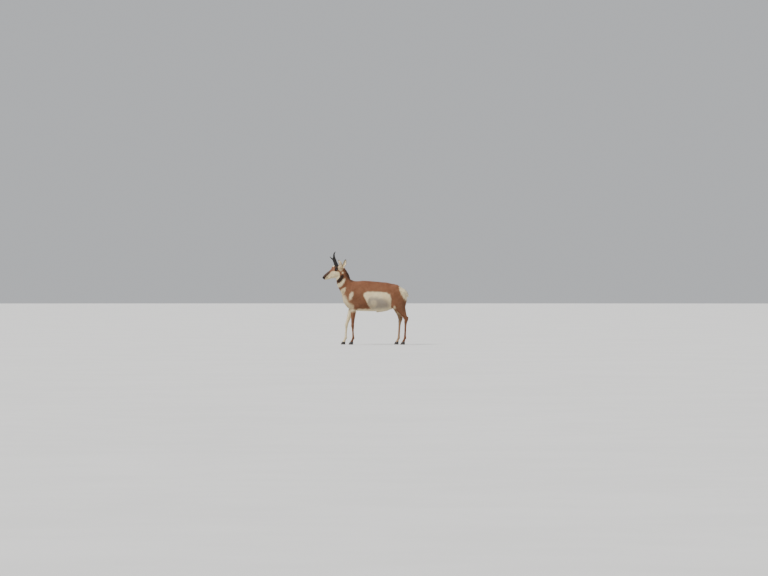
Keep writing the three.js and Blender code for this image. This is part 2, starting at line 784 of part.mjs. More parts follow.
// Ears: a leaf rolled into a cup, open outwards and forwards, with a pointed tip
const EARS = {
  ear_left: { hand: LEFT, root: [-323, -40, 1050], tip: [-268, -84, 1182], open: [-0.45, -0.85, 0.2] },
  ear_right: { hand: RIGHT, root: [-330, 40, 1052], tip: [-370, 88, 1180], open: [-0.6, 0.8, -0.1] },
};
function ear({ root, tip, open }) {
  const rows = 10;
  const columns = 8;
  const along = unit(sub(tip, root));
  const mouth = unit(plus(open, along, -dot(open, along)));
  const across = cross(along, mouth);
  const length = Math.hypot(...sub(tip, root));
  const sheet = (inside) => {
    const points = [];
    for (let r = 0; r <= rows; r++) {
      const u = r / rows;
      const shape = Math.sin(Math.PI * Math.min(0.5 * (u / 0.42), 1) * (u < 0.42 ? 1 : 0.5));
      const above = Math.max(1 - ((u - 0.42) / 0.6) ** 2, 0);
      const taper = u < 0.42 ? 0.56 + 0.44 * shape : Math.sqrt(above) ** 1.15;
      const wide = Math.max(EAR_HALF_WIDTH * taper, 3);
      const roll = THREE.MathUtils.lerp(2.5, 0.95, Math.min(u * 1.6, 1));
      const radius = wide / Math.min(roll, Math.PI / 1.25);
      const lean = -10 * Math.sin(Math.PI * u) + 8 * u * u;
      for (let c = 0; c <= columns; c++) {
        const angle = ((2 * c) / columns - 1) * roll;
        const edge = Math.abs((2 * c) / columns - 1);
        const thick = EAR_THICKNESS * (1 - 0.45 * edge) * (1 - 0.35 * u);
        const r2 = radius + (inside ? -thick / 2 : thick / 2);
        const depth = radius - r2 * Math.cos(angle);
        let p = plus(root, along, -14 + u * (length + 14));
        p = plus(p, across, r2 * Math.sin(angle));
        points.push(plus(p, mouth, depth - radius * 0.5 + lean));
      }
    }
    return points;
  };
  const outer = sheet(false);
  const inner = sheet(true);
  const wide = columns + 1;
  const triangles = [];
  const quad = (a, b, c, d) => triangles.push([a, b, c], [a, c, d]);
  const n = outer.length;
  for (let r = 0; r < rows; r++) {
    for (let c = 0; c < columns; c++) {
      const a = r * wide + c;
      quad(a, a + 1, a + wide + 1, a + wide);
      quad(n + a, n + a + wide, n + a + wide + 1, n + a + 1);
    }
    const left = r * wide;
    const right = left + columns;
    quad(left, left + wide, n + left + wide, n + left);
    quad(right, n + right, n + right + wide, right + wide);
  }
  for (let c = 0; c < columns; c++) {
    const top = rows * wide + c;
    quad(c, n + c, n + c + 1, c + 1);
    quad(top, top + 1, n + top + 1, n + top);
  }
  const points = [...outer, ...inner];
  const made = solidFrom(points, triangles);
  return made.volume() < 0 ? solidFrom(points, triangles.map(([a, b, c]) => [a, c, b])) : made;
}

// Horns: a flattened shaft that hooks back at its tip, and a prong that points ahead
const SHAFT = [
  [[-392, 33, 1066], 27, 27, 18],
  [[-402, 38, 1100], 29, 27, 19],
  [[-417, 45, 1140], 26, 25, 16.5],
  [[-429, 52, 1176], 27, 24, 14.5],
  [[-436, 59, 1212], 16, 17, 12.5],
  [[-437, 64, 1246], 11.5, 12, 10.5],
  [[-430, 65, 1274], 8, 8.5, 8],
  [[-414, 60, 1291], 3, 3, 3],
];
const PRONG = [
  [[-424, 50, 1164], 17, 20, 10],
  [[-446, 55, 1180], 13, 14, 8.5],
  [[-470, 61, 1198], 9, 10, 7],
  [[-486, 66, 1214], 5.5, 6, 5],
  [[-494, 69, 1226], 1.6, 1.6, 1.6],
];
function horn(hand) {
  const place = (rows) => rows.map(([p, ...sizes]) => [hand === LEFT ? mirrored(p) : p, ...sizes]);
  const options = { fine: 2 };
  return new Sweep(place(SHAFT), options).solid(HORN_SIDES).add(new Sweep(place(PRONG), options).solid(6));
}

// One flat, tapered lock: from a sunk root it rises to its height off a body while it runs along the lie
function lock(root, out, lie, { length, height, width, thick, sunk, body = () => 0 }) {
  const run = unit(plus(lie, out, -dot(lie, out)));
  const across = unit(cross(out, run));
  const spine = (t) => {
    let p = plus(root, run, length * t);
    for (let round = 0; round < 3; round++) p = plus(p, out, -Math.max(body(p), 0));
    return plus(p, out, height * (1 - (1 - t) ** 2));
  };
  const rings = [-1, 0.35, 0.72].map((t) => {
    const centre = t < 0 ? plus(plus(root, out, -sunk), run, -0.2 * sunk) : spine(t);
    const ahead = t < 0 ? unit(plus(out, run, 0.6)) : unit(sub(spine(t + 0.05), spine(t - 0.05)));
    const flat = unit(cross(ahead, across));
    const half = (width / 2) * (t < 0 ? 0.85 : 1.05 - 0.5 * t * t);
    const deep = (thick / 2) * (t < 0 ? 1.1 : 1 - 0.45 * t);
    const spokes = [[across, half], [flat, deep], [across, -half], [flat, -deep]];
    return spokes.map(([way, far]) => plus(centre, way, far));
  });
  rings.push(rings[2].map((p) => between(spine(1), p, 0.08)));
  return loft(rings);
}

// The mane: rows of locks down the nape, tall at the poll and lower towards the withers
const MANE = { count: 9, rows: 3, seed: 7, from: [-322, 0, 1000], to: [-204, 0, 818] };
function mane(solid) {
  const draw = draws(MANE.seed);
  const back = [0.86, 0, 0.51];
  const down = [0.51, 0, -0.86];
  let made = solid;
  for (let n = 0; n < MANE.count; n++) {
    for (let r = 0; r < MANE.rows; r++) {
      const share = (n + (r % 2) * 0.5) / (MANE.count - 0.5);
      const turn = (r - 1) * 0.42 + (draw() - 0.5) * 0.1;
      const out = unit(plus(back, [0, 1, 0], turn));
      const root = surfaceFrom(between(MANE.from, MANE.to, share), out, field);
      made = made.add(lock(root, out, plus(down, [0, 1, 0], turn * 0.4), {
        length: 56 + 14 * draw(),
        height: (8 - 3 * share) * (1 - 0.3 * Math.abs(r - 1)),
        width: 26,
        thick: 13,
        sunk: 10,
        body: field,
      }));
    }
  }
  return made;
}

// The tail: a short flat core with locks that reach past its end
const TAIL = [
  [[520, 0, 768], 11, 11, 15],
  [[541, 0, 752], 16, 16, 21],
  [[561, 0, 730], 15, 15, 23],
  [[578, 0, 702], 12, 12, 20],
  [[591, 0, 674], 7, 7, 12],
];
const TAIL_LOCKS = { around: 4, rows: 3, seed: 11 };
function tail() {
  const core = new Sweep(TAIL, { fine: 2 });
  const draw = draws(TAIL_LOCKS.seed);
  let made = core.solid(10);
  for (let r = 0; r < TAIL_LOCKS.rows; r++) {
    for (let n = 0; n < TAIL_LOCKS.around; n++) {
      const at = 3.4 + r * 1.4;
      const low = Math.floor(at);
      const centre = between(core.at[low], core.at[low + 1], at - low);
      const { along, up } = core.frame[low];
      const angle = 2 * Math.PI * ((n + 0.5 * (r % 2)) / TAIL_LOCKS.around);
      const [rise, , half] = core.size[low];
      const out = unit([up[0] * Math.cos(angle), Math.sin(angle), up[2] * Math.cos(angle)]);
      const beside = plus(centre, [0, 1, 0], Math.sin(angle) * half * 0.9);
      const root = plus(beside, up, Math.cos(angle) * rise * 0.9);
      made = made.add(lock(root, out, along, {
        length: 44 * (0.85 + 0.3 * draw()), height: 4, width: 24, thick: 8, sunk: 5,
      }));
    }
  }
  return made;
}

const torsoSolid = torso();
const headSolid = head();
const neckFrame = { pivot: [NECK_CUT.point[0], 0, NECK_CUT.point[2]], tilt: 1.05 - Math.PI };
const neckBare = skinOf(field, [-330, -130, -190], [170, 130, 190], [25, 18, 18], neckFrame)
  .intersect(side(HEAD_CUT, -1))
  .intersect(side(NECK_CUT, 1));
const torsoRoom = swollen(torsoSolid);
const headRoom = swollen(headSolid);

add("torso", torsoSolid, COATS.tan);
add("neck", mane(largest(neckBare)).subtract(torsoRoom).subtract(headRoom), COATS.tan);
add("head", headSolid, COATS.pale);
add("tail", tail().subtract(torsoRoom), COATS.pale);
for (const [name, shape] of Object.entries(EARS)) add(name, ear(shape).subtract(headRoom), COATS.pale);
for (const [word, hand] of [["left", LEFT], ["right", RIGHT]]) {
  add(`eye_${word}`, ball(onHead(EYE.s, EYE.h, hand * EYE.y), EYE.radius, 18, 12), WET);
  add(`horn_${word}`, horn(hand).subtract(headRoom), HORN);
}
for (const [name, { toe, bends }] of Object.entries(LEGS)) {
  const [upper, lower] = legPieces(name);
  add(`${name}_upper`, upper, COATS.tan);
  add(`${name}_lower`, lower, COATS.pale);
  add(`${name}_claw_outer`, claw(toe, bends[4][0], name.endsWith("left") ? LEFT : RIGHT), HOOF);
  add(`${name}_claw_inner`, claw(toe, bends[4][0], name.endsWith("left") ? RIGHT : LEFT), HOOF);
}

const pronghorn = new THREE.Group();
for (const [name, { solid, material }] of parts) {
  const mesh = new THREE.Mesh(geometryOf(solid), material);
  mesh.name = name;
  pronghorn.add(mesh);
}

// The frame's origin is on the floor, under the middle of the whole animal.
const middle = new THREE.Box3().setFromObject(pronghorn, true).getCenter(new THREE.Vector3());
pronghorn.position.set(-middle.x, -middle.y, 0);

export default pronghorn;
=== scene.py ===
"""A life-size pronghorn buck, dressed: one skin over its flesh, a coat of tufts, horns, hooves and eyes.

Sizes are in millimetres in the buck's own frame: the nose points to -X, its left side faces -Y, +Z is up and
the hooves stand on Z = 0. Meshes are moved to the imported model's frame, in metres, as they are made. A table
of points or directions has one in each row.
"""

from __future__ import annotations

import logging
import math
from collections.abc import Callable, Sequence
from dataclasses import dataclass, field
from enum import Enum

import bpy
import numpy as np
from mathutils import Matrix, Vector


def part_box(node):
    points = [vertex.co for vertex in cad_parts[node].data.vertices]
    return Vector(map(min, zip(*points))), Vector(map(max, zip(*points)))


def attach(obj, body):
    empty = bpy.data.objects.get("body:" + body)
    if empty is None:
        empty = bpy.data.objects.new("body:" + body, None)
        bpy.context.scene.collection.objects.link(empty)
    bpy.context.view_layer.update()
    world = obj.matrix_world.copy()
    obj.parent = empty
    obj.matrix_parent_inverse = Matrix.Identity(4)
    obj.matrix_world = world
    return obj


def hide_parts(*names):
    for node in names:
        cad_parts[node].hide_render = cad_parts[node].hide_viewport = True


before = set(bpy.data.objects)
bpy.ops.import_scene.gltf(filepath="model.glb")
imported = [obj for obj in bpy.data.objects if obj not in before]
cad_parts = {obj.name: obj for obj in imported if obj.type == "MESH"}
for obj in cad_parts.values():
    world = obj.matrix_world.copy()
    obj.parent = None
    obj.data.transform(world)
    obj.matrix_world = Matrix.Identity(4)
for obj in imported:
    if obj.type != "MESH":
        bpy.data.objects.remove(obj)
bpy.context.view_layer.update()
LOG = logging.getLogger("pronghorn")

Array = np.ndarray
Field = Callable[[Array], Array]
Object, Material = bpy.types.Object, bpy.types.Material
Tree, Node, Socket = bpy.types.NodeTree, bpy.types.Node, bpy.types.NodeSocket
MM = 0.001
SEED = 20
WITHERS_HEIGHT = 890.0
NOSE = (-594.0, 0.0, 925.0)
HEAD_PITCH = math.radians(27.5)
HEAD_COS, HEAD_SIN = math.cos(HEAD_PITCH), math.sin(HEAD_PITCH)
EYE = (227.0, 17.0, 42.0)
EYE_RADIUS = 22.0
NOSTRIL = (12.0, 2.5, 19.0)
NOSTRIL_WINGS = (17.0, 8.0)
LEGS = ("foreleg_left", "foreleg_right", "hindleg_left", "hindleg_right")
STRAND_TABLES = ("root", "out", "lie", "length", "height", "width", "tones", "chance", "chart")
STORED = {1: ("FLOAT", "value"), 3: ("FLOAT_VECTOR", "vector"), 4: ("FLOAT_COLOR", "color")}


class Side(Enum):
    """The buck's own left and right, with the sign of Y on that side."""

    LEFT = -1
    RIGHT = 1


def unit(v: Array) -> Array:
    """Scales vectors, one in each row or a single one, to length 1."""
    v = np.asarray(v, float)
    return v / np.maximum(np.linalg.norm(v, axis=-1, keepdims=True), 1e-9)


def melt(a: Array, b: Array, width: float) -> Array:
    """Joins two distances so that they flow together."""
    near = np.maximum(width - np.abs(a - b), 0) / width
    return np.minimum(a, b) - near * near * width / 4


def carve(a: Array, b: Array, width: float) -> Array:
    """Cuts one distance out of another with a soft edge."""
    return -melt(-a, b, width)


def ramp(value: Array, low: float, high: float) -> Array:
    """Rises smoothly from 0 at low to 1 at high, or falls where low is the larger."""
    t = np.clip((value - low) / (high - low), 0, 1)
    return t * t * (3 - 2 * t)


def on_head(s: float, h: float, y: float = 0.0) -> Array:
    """Places a point on the head: how far from the nose along its axis, how far above it and to the right."""
    return np.array([NOSE[0] + s * HEAD_COS - h * HEAD_SIN, y, NOSE[2] + s * HEAD_SIN + h * HEAD_COS])


def model_shift() -> Array:
    """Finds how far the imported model's frame lies from the buck's own, by where its left eye is."""
    low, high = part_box("eye_left")
    return (np.array(low) + np.array(high)) / 2 - on_head(EYE[0], EYE[1], -EYE[2]) * MM


SHIFT = model_shift()


def head_place(p: Array) -> tuple[Array, Array]:
    """Reads how far along the head from its nose, and how far above the head's axis, points lie."""
    x, z = p[:, 0] - NOSE[0], p[:, 2] - NOSE[2]
    return x * HEAD_COS + z * HEAD_SIN, z * HEAD_COS - x * HEAD_SIN


class Sweep:
    """A body part swept along a line of stations, each a centre with its rise, fall and side half sizes."""

    REACH = 90.0
    SOFT = 0.09
    STEPS = 4

    def __init__(
        self,
        stations: Sequence[tuple],
        round_rise: float = 2.0,
        round_fall: float = 2.0,
        start: float = 10.0,
        end: float = 10.0,
    ) -> None:
        """Draws a smooth line through the stations.

        Args:
            stations: Rows of ((x, y, z), rise, fall, side).
            round_rise: The power of the oval on the rising side.
            round_fall: The power of the oval on the falling side.
            start: How far the first end is rounded.
            end: How far the last end is rounded.
        """
        self.round_rise, self.round_fall, self.start, self.end = round_rise, round_fall, start, end
        rows = np.array([[*centre, *sizes] for centre, *sizes in stations], float)
        curved = []
        for i in range(len(rows) - 1):
            a, b = rows[i], rows[i + 1]
            before, after = rows[max(i - 1, 0)], rows[min(i + 2, len(rows) - 1)]
            low = np.minimum.reduce([before, a, b, after])
            high = np.maximum.reduce([before, a, b, after])
            for t in np.arange(self.STEPS) / self.STEPS:
                bend = 2 * before - 5 * a + 4 * b - after + t * (3 * (a - b) + after - before)
                curved.append(np.clip(a + 0.5 * t * (b - before + t * bend), low, high))
        curved.append(rows[-1])
        table = np.array(curved)
        self.at, self.size = table[:, :3], table[:, 3:]
        ahead = np.vstack([self.at[1:], self.at[-1:]]) - np.vstack([self.at[:1], self.at[:-1]])
        self.along = unit(ahead)
        self.up = unit(np.cross(self.along, [0.0, 1.0, 0.0]))
        self.across = np.cross(self.up, self.along)
        reach = max(self.size.max(), start, end)
        self.low, self.high = self.at.min(0) - reach, self.at.max(0) + reach

    def place(self, p: Array) -> Array:
        """Finds the place on the line that each point belongs to: its nearest one, blended with any as near.

        Args:
            p: The points.

        Returns:
            The place, counted in steps of the line from its first end.
        """
        steps = len(self.at) - 1
        gap = np.empty((steps, len(p)))
        spot = np.empty((steps, len(p)))
        for i in range(steps):
            run = self.at[i + 1] - self.at[i]
            off = p - self.at[i]
            t = np.clip(off @ run / (run @ run), 0, 1)
            gap[i] = ((off - t[:, None] * run) ** 2).sum(1)
            spot[i] = i + t
        least = gap.min(0)
        weight = np.exp((least - gap) / (self.SOFT * least + 4))
        return (weight * spot).sum(0) / weight.sum(0)

    def read(self, table: Array, place: Array) -> Array:
        """Reads a table of one row for each step of the line at places between its rows.

        Args:
            table: The rows.
            place: The places.

        Returns:
            One row for each place.
        """
        low = np.clip(place.astype(int), 0, len(self.at) - 2)
        t = (place - low)[:, None]
        return table[low] * (1 - t) + table[low + 1] * t

    def offsets(self, p: Array, place: Array) -> tuple[Array, Array, Array]:
        """Reads the way to points from their places on the line, and how much of it goes up and across."""
        off = p - self.read(self.at, place)
        return off, *((off * self.read(table, place)).sum(1) for table in (self.up, self.across))

    def unrolled(self, p: Array) -> Array:
        """Reads points in the terms of the line.

        Args:
            p: The points.

        Returns:
            The share along the line, the way along it, the height above it and the way across it.
        """
        place = self.place(p)
        _, up, across = self.offsets(p, place)
        step = np.linalg.norm(np.diff(self.at, axis=0), axis=1).mean()
        return np.stack([place / (len(self.at) - 1), place * step, up, across], 1)

    def distance(self, p: Array) -> Array:
        """Measures how far points lie outside the part.

        Args:
            p: The points.

        Returns:
            The distance, less than 0 inside. Far off it is only a lower bound.
        """
        off = np.maximum(self.low - p, p - self.high).max(1)
        result = np.maximum(off, self.REACH)
        close = np.flatnonzero(off < self.REACH)
        if not len(close):
            return result
        q = p[close]
        place = self.place(q)
        rise, fall, side = self.read(self.size, place).T
        _, up, across = self.offsets(q, place)
        power = np.where(up > 0, self.round_rise, self.round_fall)
        total = np.abs(up / np.where(up > 0, rise, fall)) ** power + np.abs(across / side) ** power
        size = up * up + across * across
        before = -((q - self.at[0]) @ self.along[0])
        after = (q - self.at[-1]) @ self.along[-1]
        first = place < len(self.at) / 2
        beyond = np.where(first, np.maximum(before, 0), np.maximum(after, 0))
        total = total + (beyond / np.where(first, self.start, self.end)) ** power
        size = size + beyond * beyond
        ratio = np.maximum(total, 1e-9) ** (1 / power)
        result[close] = np.where(ratio < 1e-3, -np.minimum(rise, side), np.sqrt(size) * (1 - 1 / ratio))
        return result


@dataclass
class Lump:
    """An oval lump with a tilt of its own in the X-Z plane."""

    centre: Sequence[float]
    radii: Sequence[float]
    tilt: float = 0.0

    def distance(self, p: Array) -> Array:
        """Measures how far points lie outside the lump.

        Args:
            p: The points.

        Returns:
            The distance, less than 0 inside.
        """
        d = p - np.asarray(self.centre, float)
        c, s = math.cos(self.tilt), math.sin(self.tilt)
        turned = np.stack([d[:, 0] * c + d[:, 2] * s, d[:, 1], d[:, 2] * c - d[:, 0] * s], 1)
        size = np.linalg.norm(turned, axis=1)
        ratio = np.maximum(np.linalg.norm(turned / np.asarray(self.radii, float), axis=1), 1e-3)
        return size * (1 - 1 / ratio)


def mirrored(p: Array) -> Array:
    """Folds points onto the right side, for what both sides share."""
    return np.stack([p[:, 0], np.abs(p[:, 1]), p[:, 2]], 1)


def from_eye(p: Array) -> Array:
    """Measures how far points lie from the middle of the eye on their side."""
    return np.linalg.norm(mirrored(p) - on_head(*EYE), axis=1)


def from_muzzle(s: Array, y: Array) -> Array:
    """Reads how far behind the muzzle's tip places lie, less so over the wings of the nostrils."""
    return s - 5 * np.exp(-(((np.abs(y) - NOSTRIL_WINGS[0]) / NOSTRIL_WINGS[1]) ** 2))


def nostril(radii: Sequence[float] = (10.5, 9.5, 3.7)) -> Lump:
    """Places the hole of the right nostril."""
    return Lump(on_head(*NOSTRIL), radii, HEAD_PITCH + 0.75)


def laid(lie: Array, out: Array) -> Array:
    """Turns directions so that they run along a surface that faces out, at length 1."""
    return unit(lie - (lie * out).sum(1, keepdims=True) * out)


def facing(points: Array, faces: Array) -> Array:
    """Finds which way faces look, each direction as long as twice the face's area."""
    corners = points[faces]
    return np.cross(corners[:, 0] - corners[:, 2], corners[:, 1] - corners[:, -1])


def turned_out(points: Array, tables: list[Array]) -> list[Array]:
    """Turns the faces of a closed shape outwards, by the first table, whose faces go round it."""
    inwards = (facing(points, tables[0]) * (points[tables[0]].mean(1) - points.mean(0))).sum() < 0
    return [table[:, ::-1] for table in tables] if inwards else tables


def ring_walls(sides: int, rings: int) -> Array:
    """Lays four-sided faces between rings of points that follow each other.

    Args:
        sides: How many points a ring has.
        rings: How many rings there are.

    Returns:
        The faces.
    """
    ring = np.arange(sides)
    after = (ring + 1) % sides
    wall = np.stack([ring, ring + sides, after + sides, after], 1)
    return np.concatenate([wall + n * sides for n in range(rings - 1)])


@dataclass
class Flesh:
    """The buck's body as one smooth field of distances, from the same named sizes as the solids."""

    trunk_rows: tuple = (
        (-256, 796, 692, 594, 68), (-203, 862, 672, 512, 95), (-125, WITHERS_HEIGHT, 652, 474, 114),
        (0, 888, 638, 465, 131), (120, 880, 640, 463, 141), (240, 873, 646, 467, 138),
        (340, 871, 668, 494, 125), (430, 841, 692, 560, 111), (508, 782, 692, 612, 92),
    )
    neck_rows: tuple = (
        (-100, 715, 140, 112, 92), (-195, 772, 150, 118, 88), (-286, 856, 112, 92, 66),
        (-318, 925, 90, 82, 58), (-322, 985, 70, 68, 53), (-330, 1025, 48, 52, 46),
    )
    crest_rows: tuple = (
        ((-306, 0, 1052), 14, 16, 18), ((-276, 0, 1007), 17, 17, 21), ((-257, 0, 957), 19, 19, 24),
        ((-236, 0, 900), 16, 16, 24), ((-180, 0, 866), 10, 10, 20),
    )
    skull_rows: tuple = (
        (9, 11, -4, -18, 17), (20, 21, -4, -25, 24), (36, 29, -4, -30, 28), (62, 36, -4, -34, 30),
        (96, 42, -4, -46, 35), (132, 49, -2, -64, 41), (166, 58, 0, -78, 46), (200, 68, 4, -84, 50),
        (236, 73, 8, -77, 51), (268, 63, 6, -58, 48), (296, 43, 4, -38, 41),
    )
    jaw_rows: tuple = (
        (22, -30, 9, 14), (40, -34, 11, 19), (70, -39, 13, 22), (110, -47, 16, 27), (150, -57, 19, 32),
        (190, -62, 20, 36), (218, -58, 20, 37),
    )
    relief_rows: tuple = (
        ((-182, 72, 668), (56, 34, 118), -0.4, 44), ((-246, 62, 645), (40, 28, 44), 0, 36),
        ((-190, 78, 590), (50, 32, 62), -0.5, 40), ((392, 68, 776), (70, 24, 36), 0.35, 60),
        ((446, 66, 716), (90, 34, 72), 0.2, 60), ((512, 66, 630), (52, 36, 96), 0.12, 50),
        ((-276, 0, 655), (34, 50, 60), 0.25, 34), ((228, 0, 468), (80, 13, 8), 0.14, 30),
        ((452, 0, 558), (26, 26, 32), 0, 26),
    )
    head_relief_rows: tuple = (
        ((EYE[0], EYE[1], 41), (30, 21, 24), 18), ((236, 55, 34), (27, 20, 14), 28),
        ((206, 54, 0), (28, 20, 28), 26), ((206, -36, 32), (50, 16, 38), 30),
        ((130, -38, 16), (52, 17, 20), 26), ((282, 22, 32), (22, 18, 18), 36),
        ((15, 0, 13), (14, 12, 12), 16),
    )
    leg_bends: tuple = (
        ((-232, -62, 640), (-165, -74, 522), (-176, -70, 265), (-170, -68, 94), (-190, -68, 38)),
        ((-240, 62, 640), (-182, 74, 520), (-262, 70, 278), (-276, 68, 96), (-300, 68, 38)),
        ((478, -70, 735), (455, -84, 575), (560, -76, 350), (548, -75, 96), (528, -75, 38)),
        ((466, 70, 735), (438, 85, 578), (480, 78, 350), (462, 76, 96), (441, 76, 38)),
    )
    foreleg_girth: tuple = (
        (0, 0.2, 72, 70, 38), (0, 0.45, 74, 72, 42), (0, 0.75, 66, 64, 42), (1, 0.0, 54, 50, 38),
        (1, 0.25, 41, 39, 31), (1, 0.55, 29, 30, 24), (1, 0.85, 21, 23, 19.5), (2, 0.0, 21, 23, 21),
        (2, 0.14, 19, 19, 18.5), (2, 0.3, 15.5, 15, 14.5), (2, 0.58, 14, 13, 12.5),
        (2, 0.86, 15.5, 14, 14.5),
    )
    hindleg_girth: tuple = (
        (0, 0.1, 92, 98, 44), (0, 0.5, 104, 102, 52), (0, 0.95, 105, 95, 50), (1, 0.14, 95, 83, 44),
        (1, 0.4, 66, 57, 32), (1, 0.7, 43, 31, 21), (1, 0.9, 36, 24, 17), (2, 0.0, 34, 22, 19),
        (2, 0.1, 26, 21, 19), (2, 0.28, 17, 16, 15), (2, 0.6, 14.5, 13.5, 13), (2, 0.88, 15.5, 14, 14.5),
    )
    foot_girth: tuple = (
        (3, 0.0, 20, 16, 18.5), (3, 0.45, 15.5, 15.5, 17.5), (3, 0.95, 21, 21, 22),
    )

    def __post_init__(self) -> None:
        """Builds the sweeps and lumps from the tables."""
        trunk = [((x, 0, mid), top - mid, mid - low, half) for x, top, mid, low, half in self.trunk_rows]
        neck = [((x, 0, z), throat, nape, half) for x, z, throat, nape, half in self.neck_rows]
        skull = [(on_head(s, mid), top - mid, mid - low, half) for s, top, mid, low, half in self.skull_rows]
        jaw = [(on_head(s, h), half, half, wide) for s, h, half, wide in self.jaw_rows]
        self.trunk = Sweep(trunk, round_rise=1.75, round_fall=2.05, start=30, end=64)
        self.neck = Sweep(neck, round_fall=1.8, start=60, end=36)
        self.crest = Sweep(self.crest_rows, start=20, end=20)
        self.skull = Sweep(skull, round_rise=2.1, round_fall=1.9, start=9, end=26)
        self.jaw = Sweep(jaw, start=9, end=22)
        self.relief = [(Lump(c, r, tilt), width) for c, r, tilt, width in self.relief_rows]
        self.head_relief = [(Lump(on_head(*c), r, HEAD_PITCH), w) for c, r, w in self.head_relief_rows]
        self.legs: dict[str, Sweep] = {}
        self.joints: dict[str, list[tuple[Lump, float]]] = {}
        for name, bends in zip(LEGS, self.leg_bends, strict=True):
            points = np.array(bends, float)
            if name.startswith("fore"):
                girth = self.foreleg_girth
                elbow = Lump(points[1] + [44, 0, 22], (18, 15, 20))
                self.joints[name] = [(elbow, 26)]
            else:
                girth = self.hindleg_girth
                hock = Lump(points[2] + [20, 0, 18], (15, 12, 22), -0.3)
                stifle = Lump(points[1] + [-70, 0, -28], (24, 28, 34))
                self.joints[name] = [(hock, 14), (stifle, 30)]
            stations = [
                (points[bone] + (points[bone + 1] - points[bone]) * share, *sizes)
                for bone, share, *sizes in (*girth, *self.foot_girth)
            ]
            self.legs[name] = Sweep(stations, start=50, end=14)
        self.parts = {"trunk": self.trunk, "neck": self.neck, "head": self.skull, **self.legs}

    def leg(self, name: str, p: Array) -> Array:
        """Measures how far points lie outside one leg.

        Args:
            name: The leg's name.
            p: The points.

        Returns:
            The distance.
        """
        d = self.legs[name].distance(p)
        for lump, width in self.joints[name]:
            d = melt(d, lump.distance(p), width)
        return d

    def head(self, p: Array) -> Array:
        """Measures how far points lie outside the head.

        Args:
            p: The points.

        Returns:
            The distance.
        """
        half = mirrored(p)
        d = self.skull.distance(p)
        for lump, width in self.head_relief:
            d = melt(d, lump.distance(half), width)
        return melt(d, self.jaw.distance(p), 15)

    def distance(self, p: Array) -> Array:
        """Measures how far points lie outside the whole body.

        Args:
            p: The points.

        Returns:
            The distance.
        """
        half = mirrored(p)
        d = melt(melt(self.trunk.distance(p), self.neck.distance(p), 80), self.crest.distance(p), 30)
        for lump, width in self.relief:
            d = melt(d, lump.distance(half), width)
        for name in self.legs:
            d = melt(d, self.leg(name, p), 34)
        return melt(d, self.head(p), 30)

    def depth(self, p: Array) -> Array:
        """Reads how deep the coat is: deepest on the body, thin on face and shins, none on the nose.

        Args:
            p: The points.

        Returns:
            The depth at each point.
        """
        s, h = head_place(p)
        head = ramp(s, 330, 250) * ramp(h, -150, -95)
        depth = 7.5 - 4.7 * np.maximum(head, ramp(p[:, 2], 560, 400))
        return depth * (1 - 0.45 * head * ramp(s, 150, 60)) * (1 - 0.85 * head * ramp(s, 34, 16))

    def skin(self, p: Array) -> Array:
        """Measures how far points lie outside the skin, with the lids, nostrils and lips that only it has.

        Args:
            p: The points.

        Returns:
            The distance.
        """
        d = self.distance(p) + self.depth(p)
        s, h = head_place(p)
        face = np.flatnonzero((s < 300) & (h > -130) & (np.abs(d) < 40))
        if len(face):
            d[face] = self.face(mirrored(p[face]), s[face], h[face], d[face])
        return d

    def face(self, half: Array, s: Array, h: Array, d: Array) -> Array:
        """Works the lids, nostrils and mouth into the face.

        Args:
            half: Points folded onto the right side.
            s: How far along the head each lies.
            h: How far above the head's axis.
            d: The plain face's distance.

        Returns:
            The distance with its details.
        """
        opening = self.eye_opening(s, h)
        lid = np.maximum(from_eye(half) - EYE_RADIUS - 3.2, -9 * opening)
        d = melt(d, lid, 5)
        d = carve(d, np.maximum(11 * opening, EYE[2] + 6 - half[:, 1]), 1.6)
        brow = Lump(on_head(EYE[0] + 4, EYE[1] + 23, 47), (23, 12, 5.5), HEAD_PITCH)
        d = melt(d, brow.distance(half), 13)
        rim = Lump(on_head(12, 7, 17.5), (9, 6, 4), HEAD_PITCH + 0.6)
        d = melt(d, rim.distance(half), 5)
        d = carve(d, nostril().distance(half), 2.5)
        groove = Lump(on_head(1, -13), (7, 1.1, 13), HEAD_PITCH)
        d = carve(d, groove.distance(half), 3)
        slit = np.maximum(np.abs(h - self.mouth_level(s)) - 0.7, s - 76)
        return carve(d, np.maximum(slit, -d - 4.5), 2.2)

    def to_skin(self, start: Array, out: Array, most: float, rounds: int) -> Array:
        """Finds how far from points inside it the skin lies.

        Args:
            start: The points.
            out: The way to go from them.
            most: How far it may lie.
            rounds: How many times the guess is halved.

        Returns:
            The way to go from each.
        """
        low, high = np.zeros(len(start)), np.full(len(start), most)
        for _ in range(rounds):
            middle = (low + high) / 2
            inside = self.skin(start + out * middle[:, None]) < 0
            low, high = np.where(inside, middle, low), np.where(inside, high, middle)
        return low

    @staticmethod
    def eye_opening(s: Array, h: Array) -> Array:
        """Reads where a place lies to the almond opening between the lids."""
        along, up = s - EYE[0], h - EYE[1] + 0.12 * (s - EYE[0])
        return np.abs(up) / np.where(up > 0, 12.5, 10.5) + (along / 19.5) ** 2 - 1

    @staticmethod
    def mouth_level(s: Array) -> Array:
        """Reads the level of the line between the lips."""
        return -24 - 9 * (np.clip(s, 24, 80) - 24) / 50

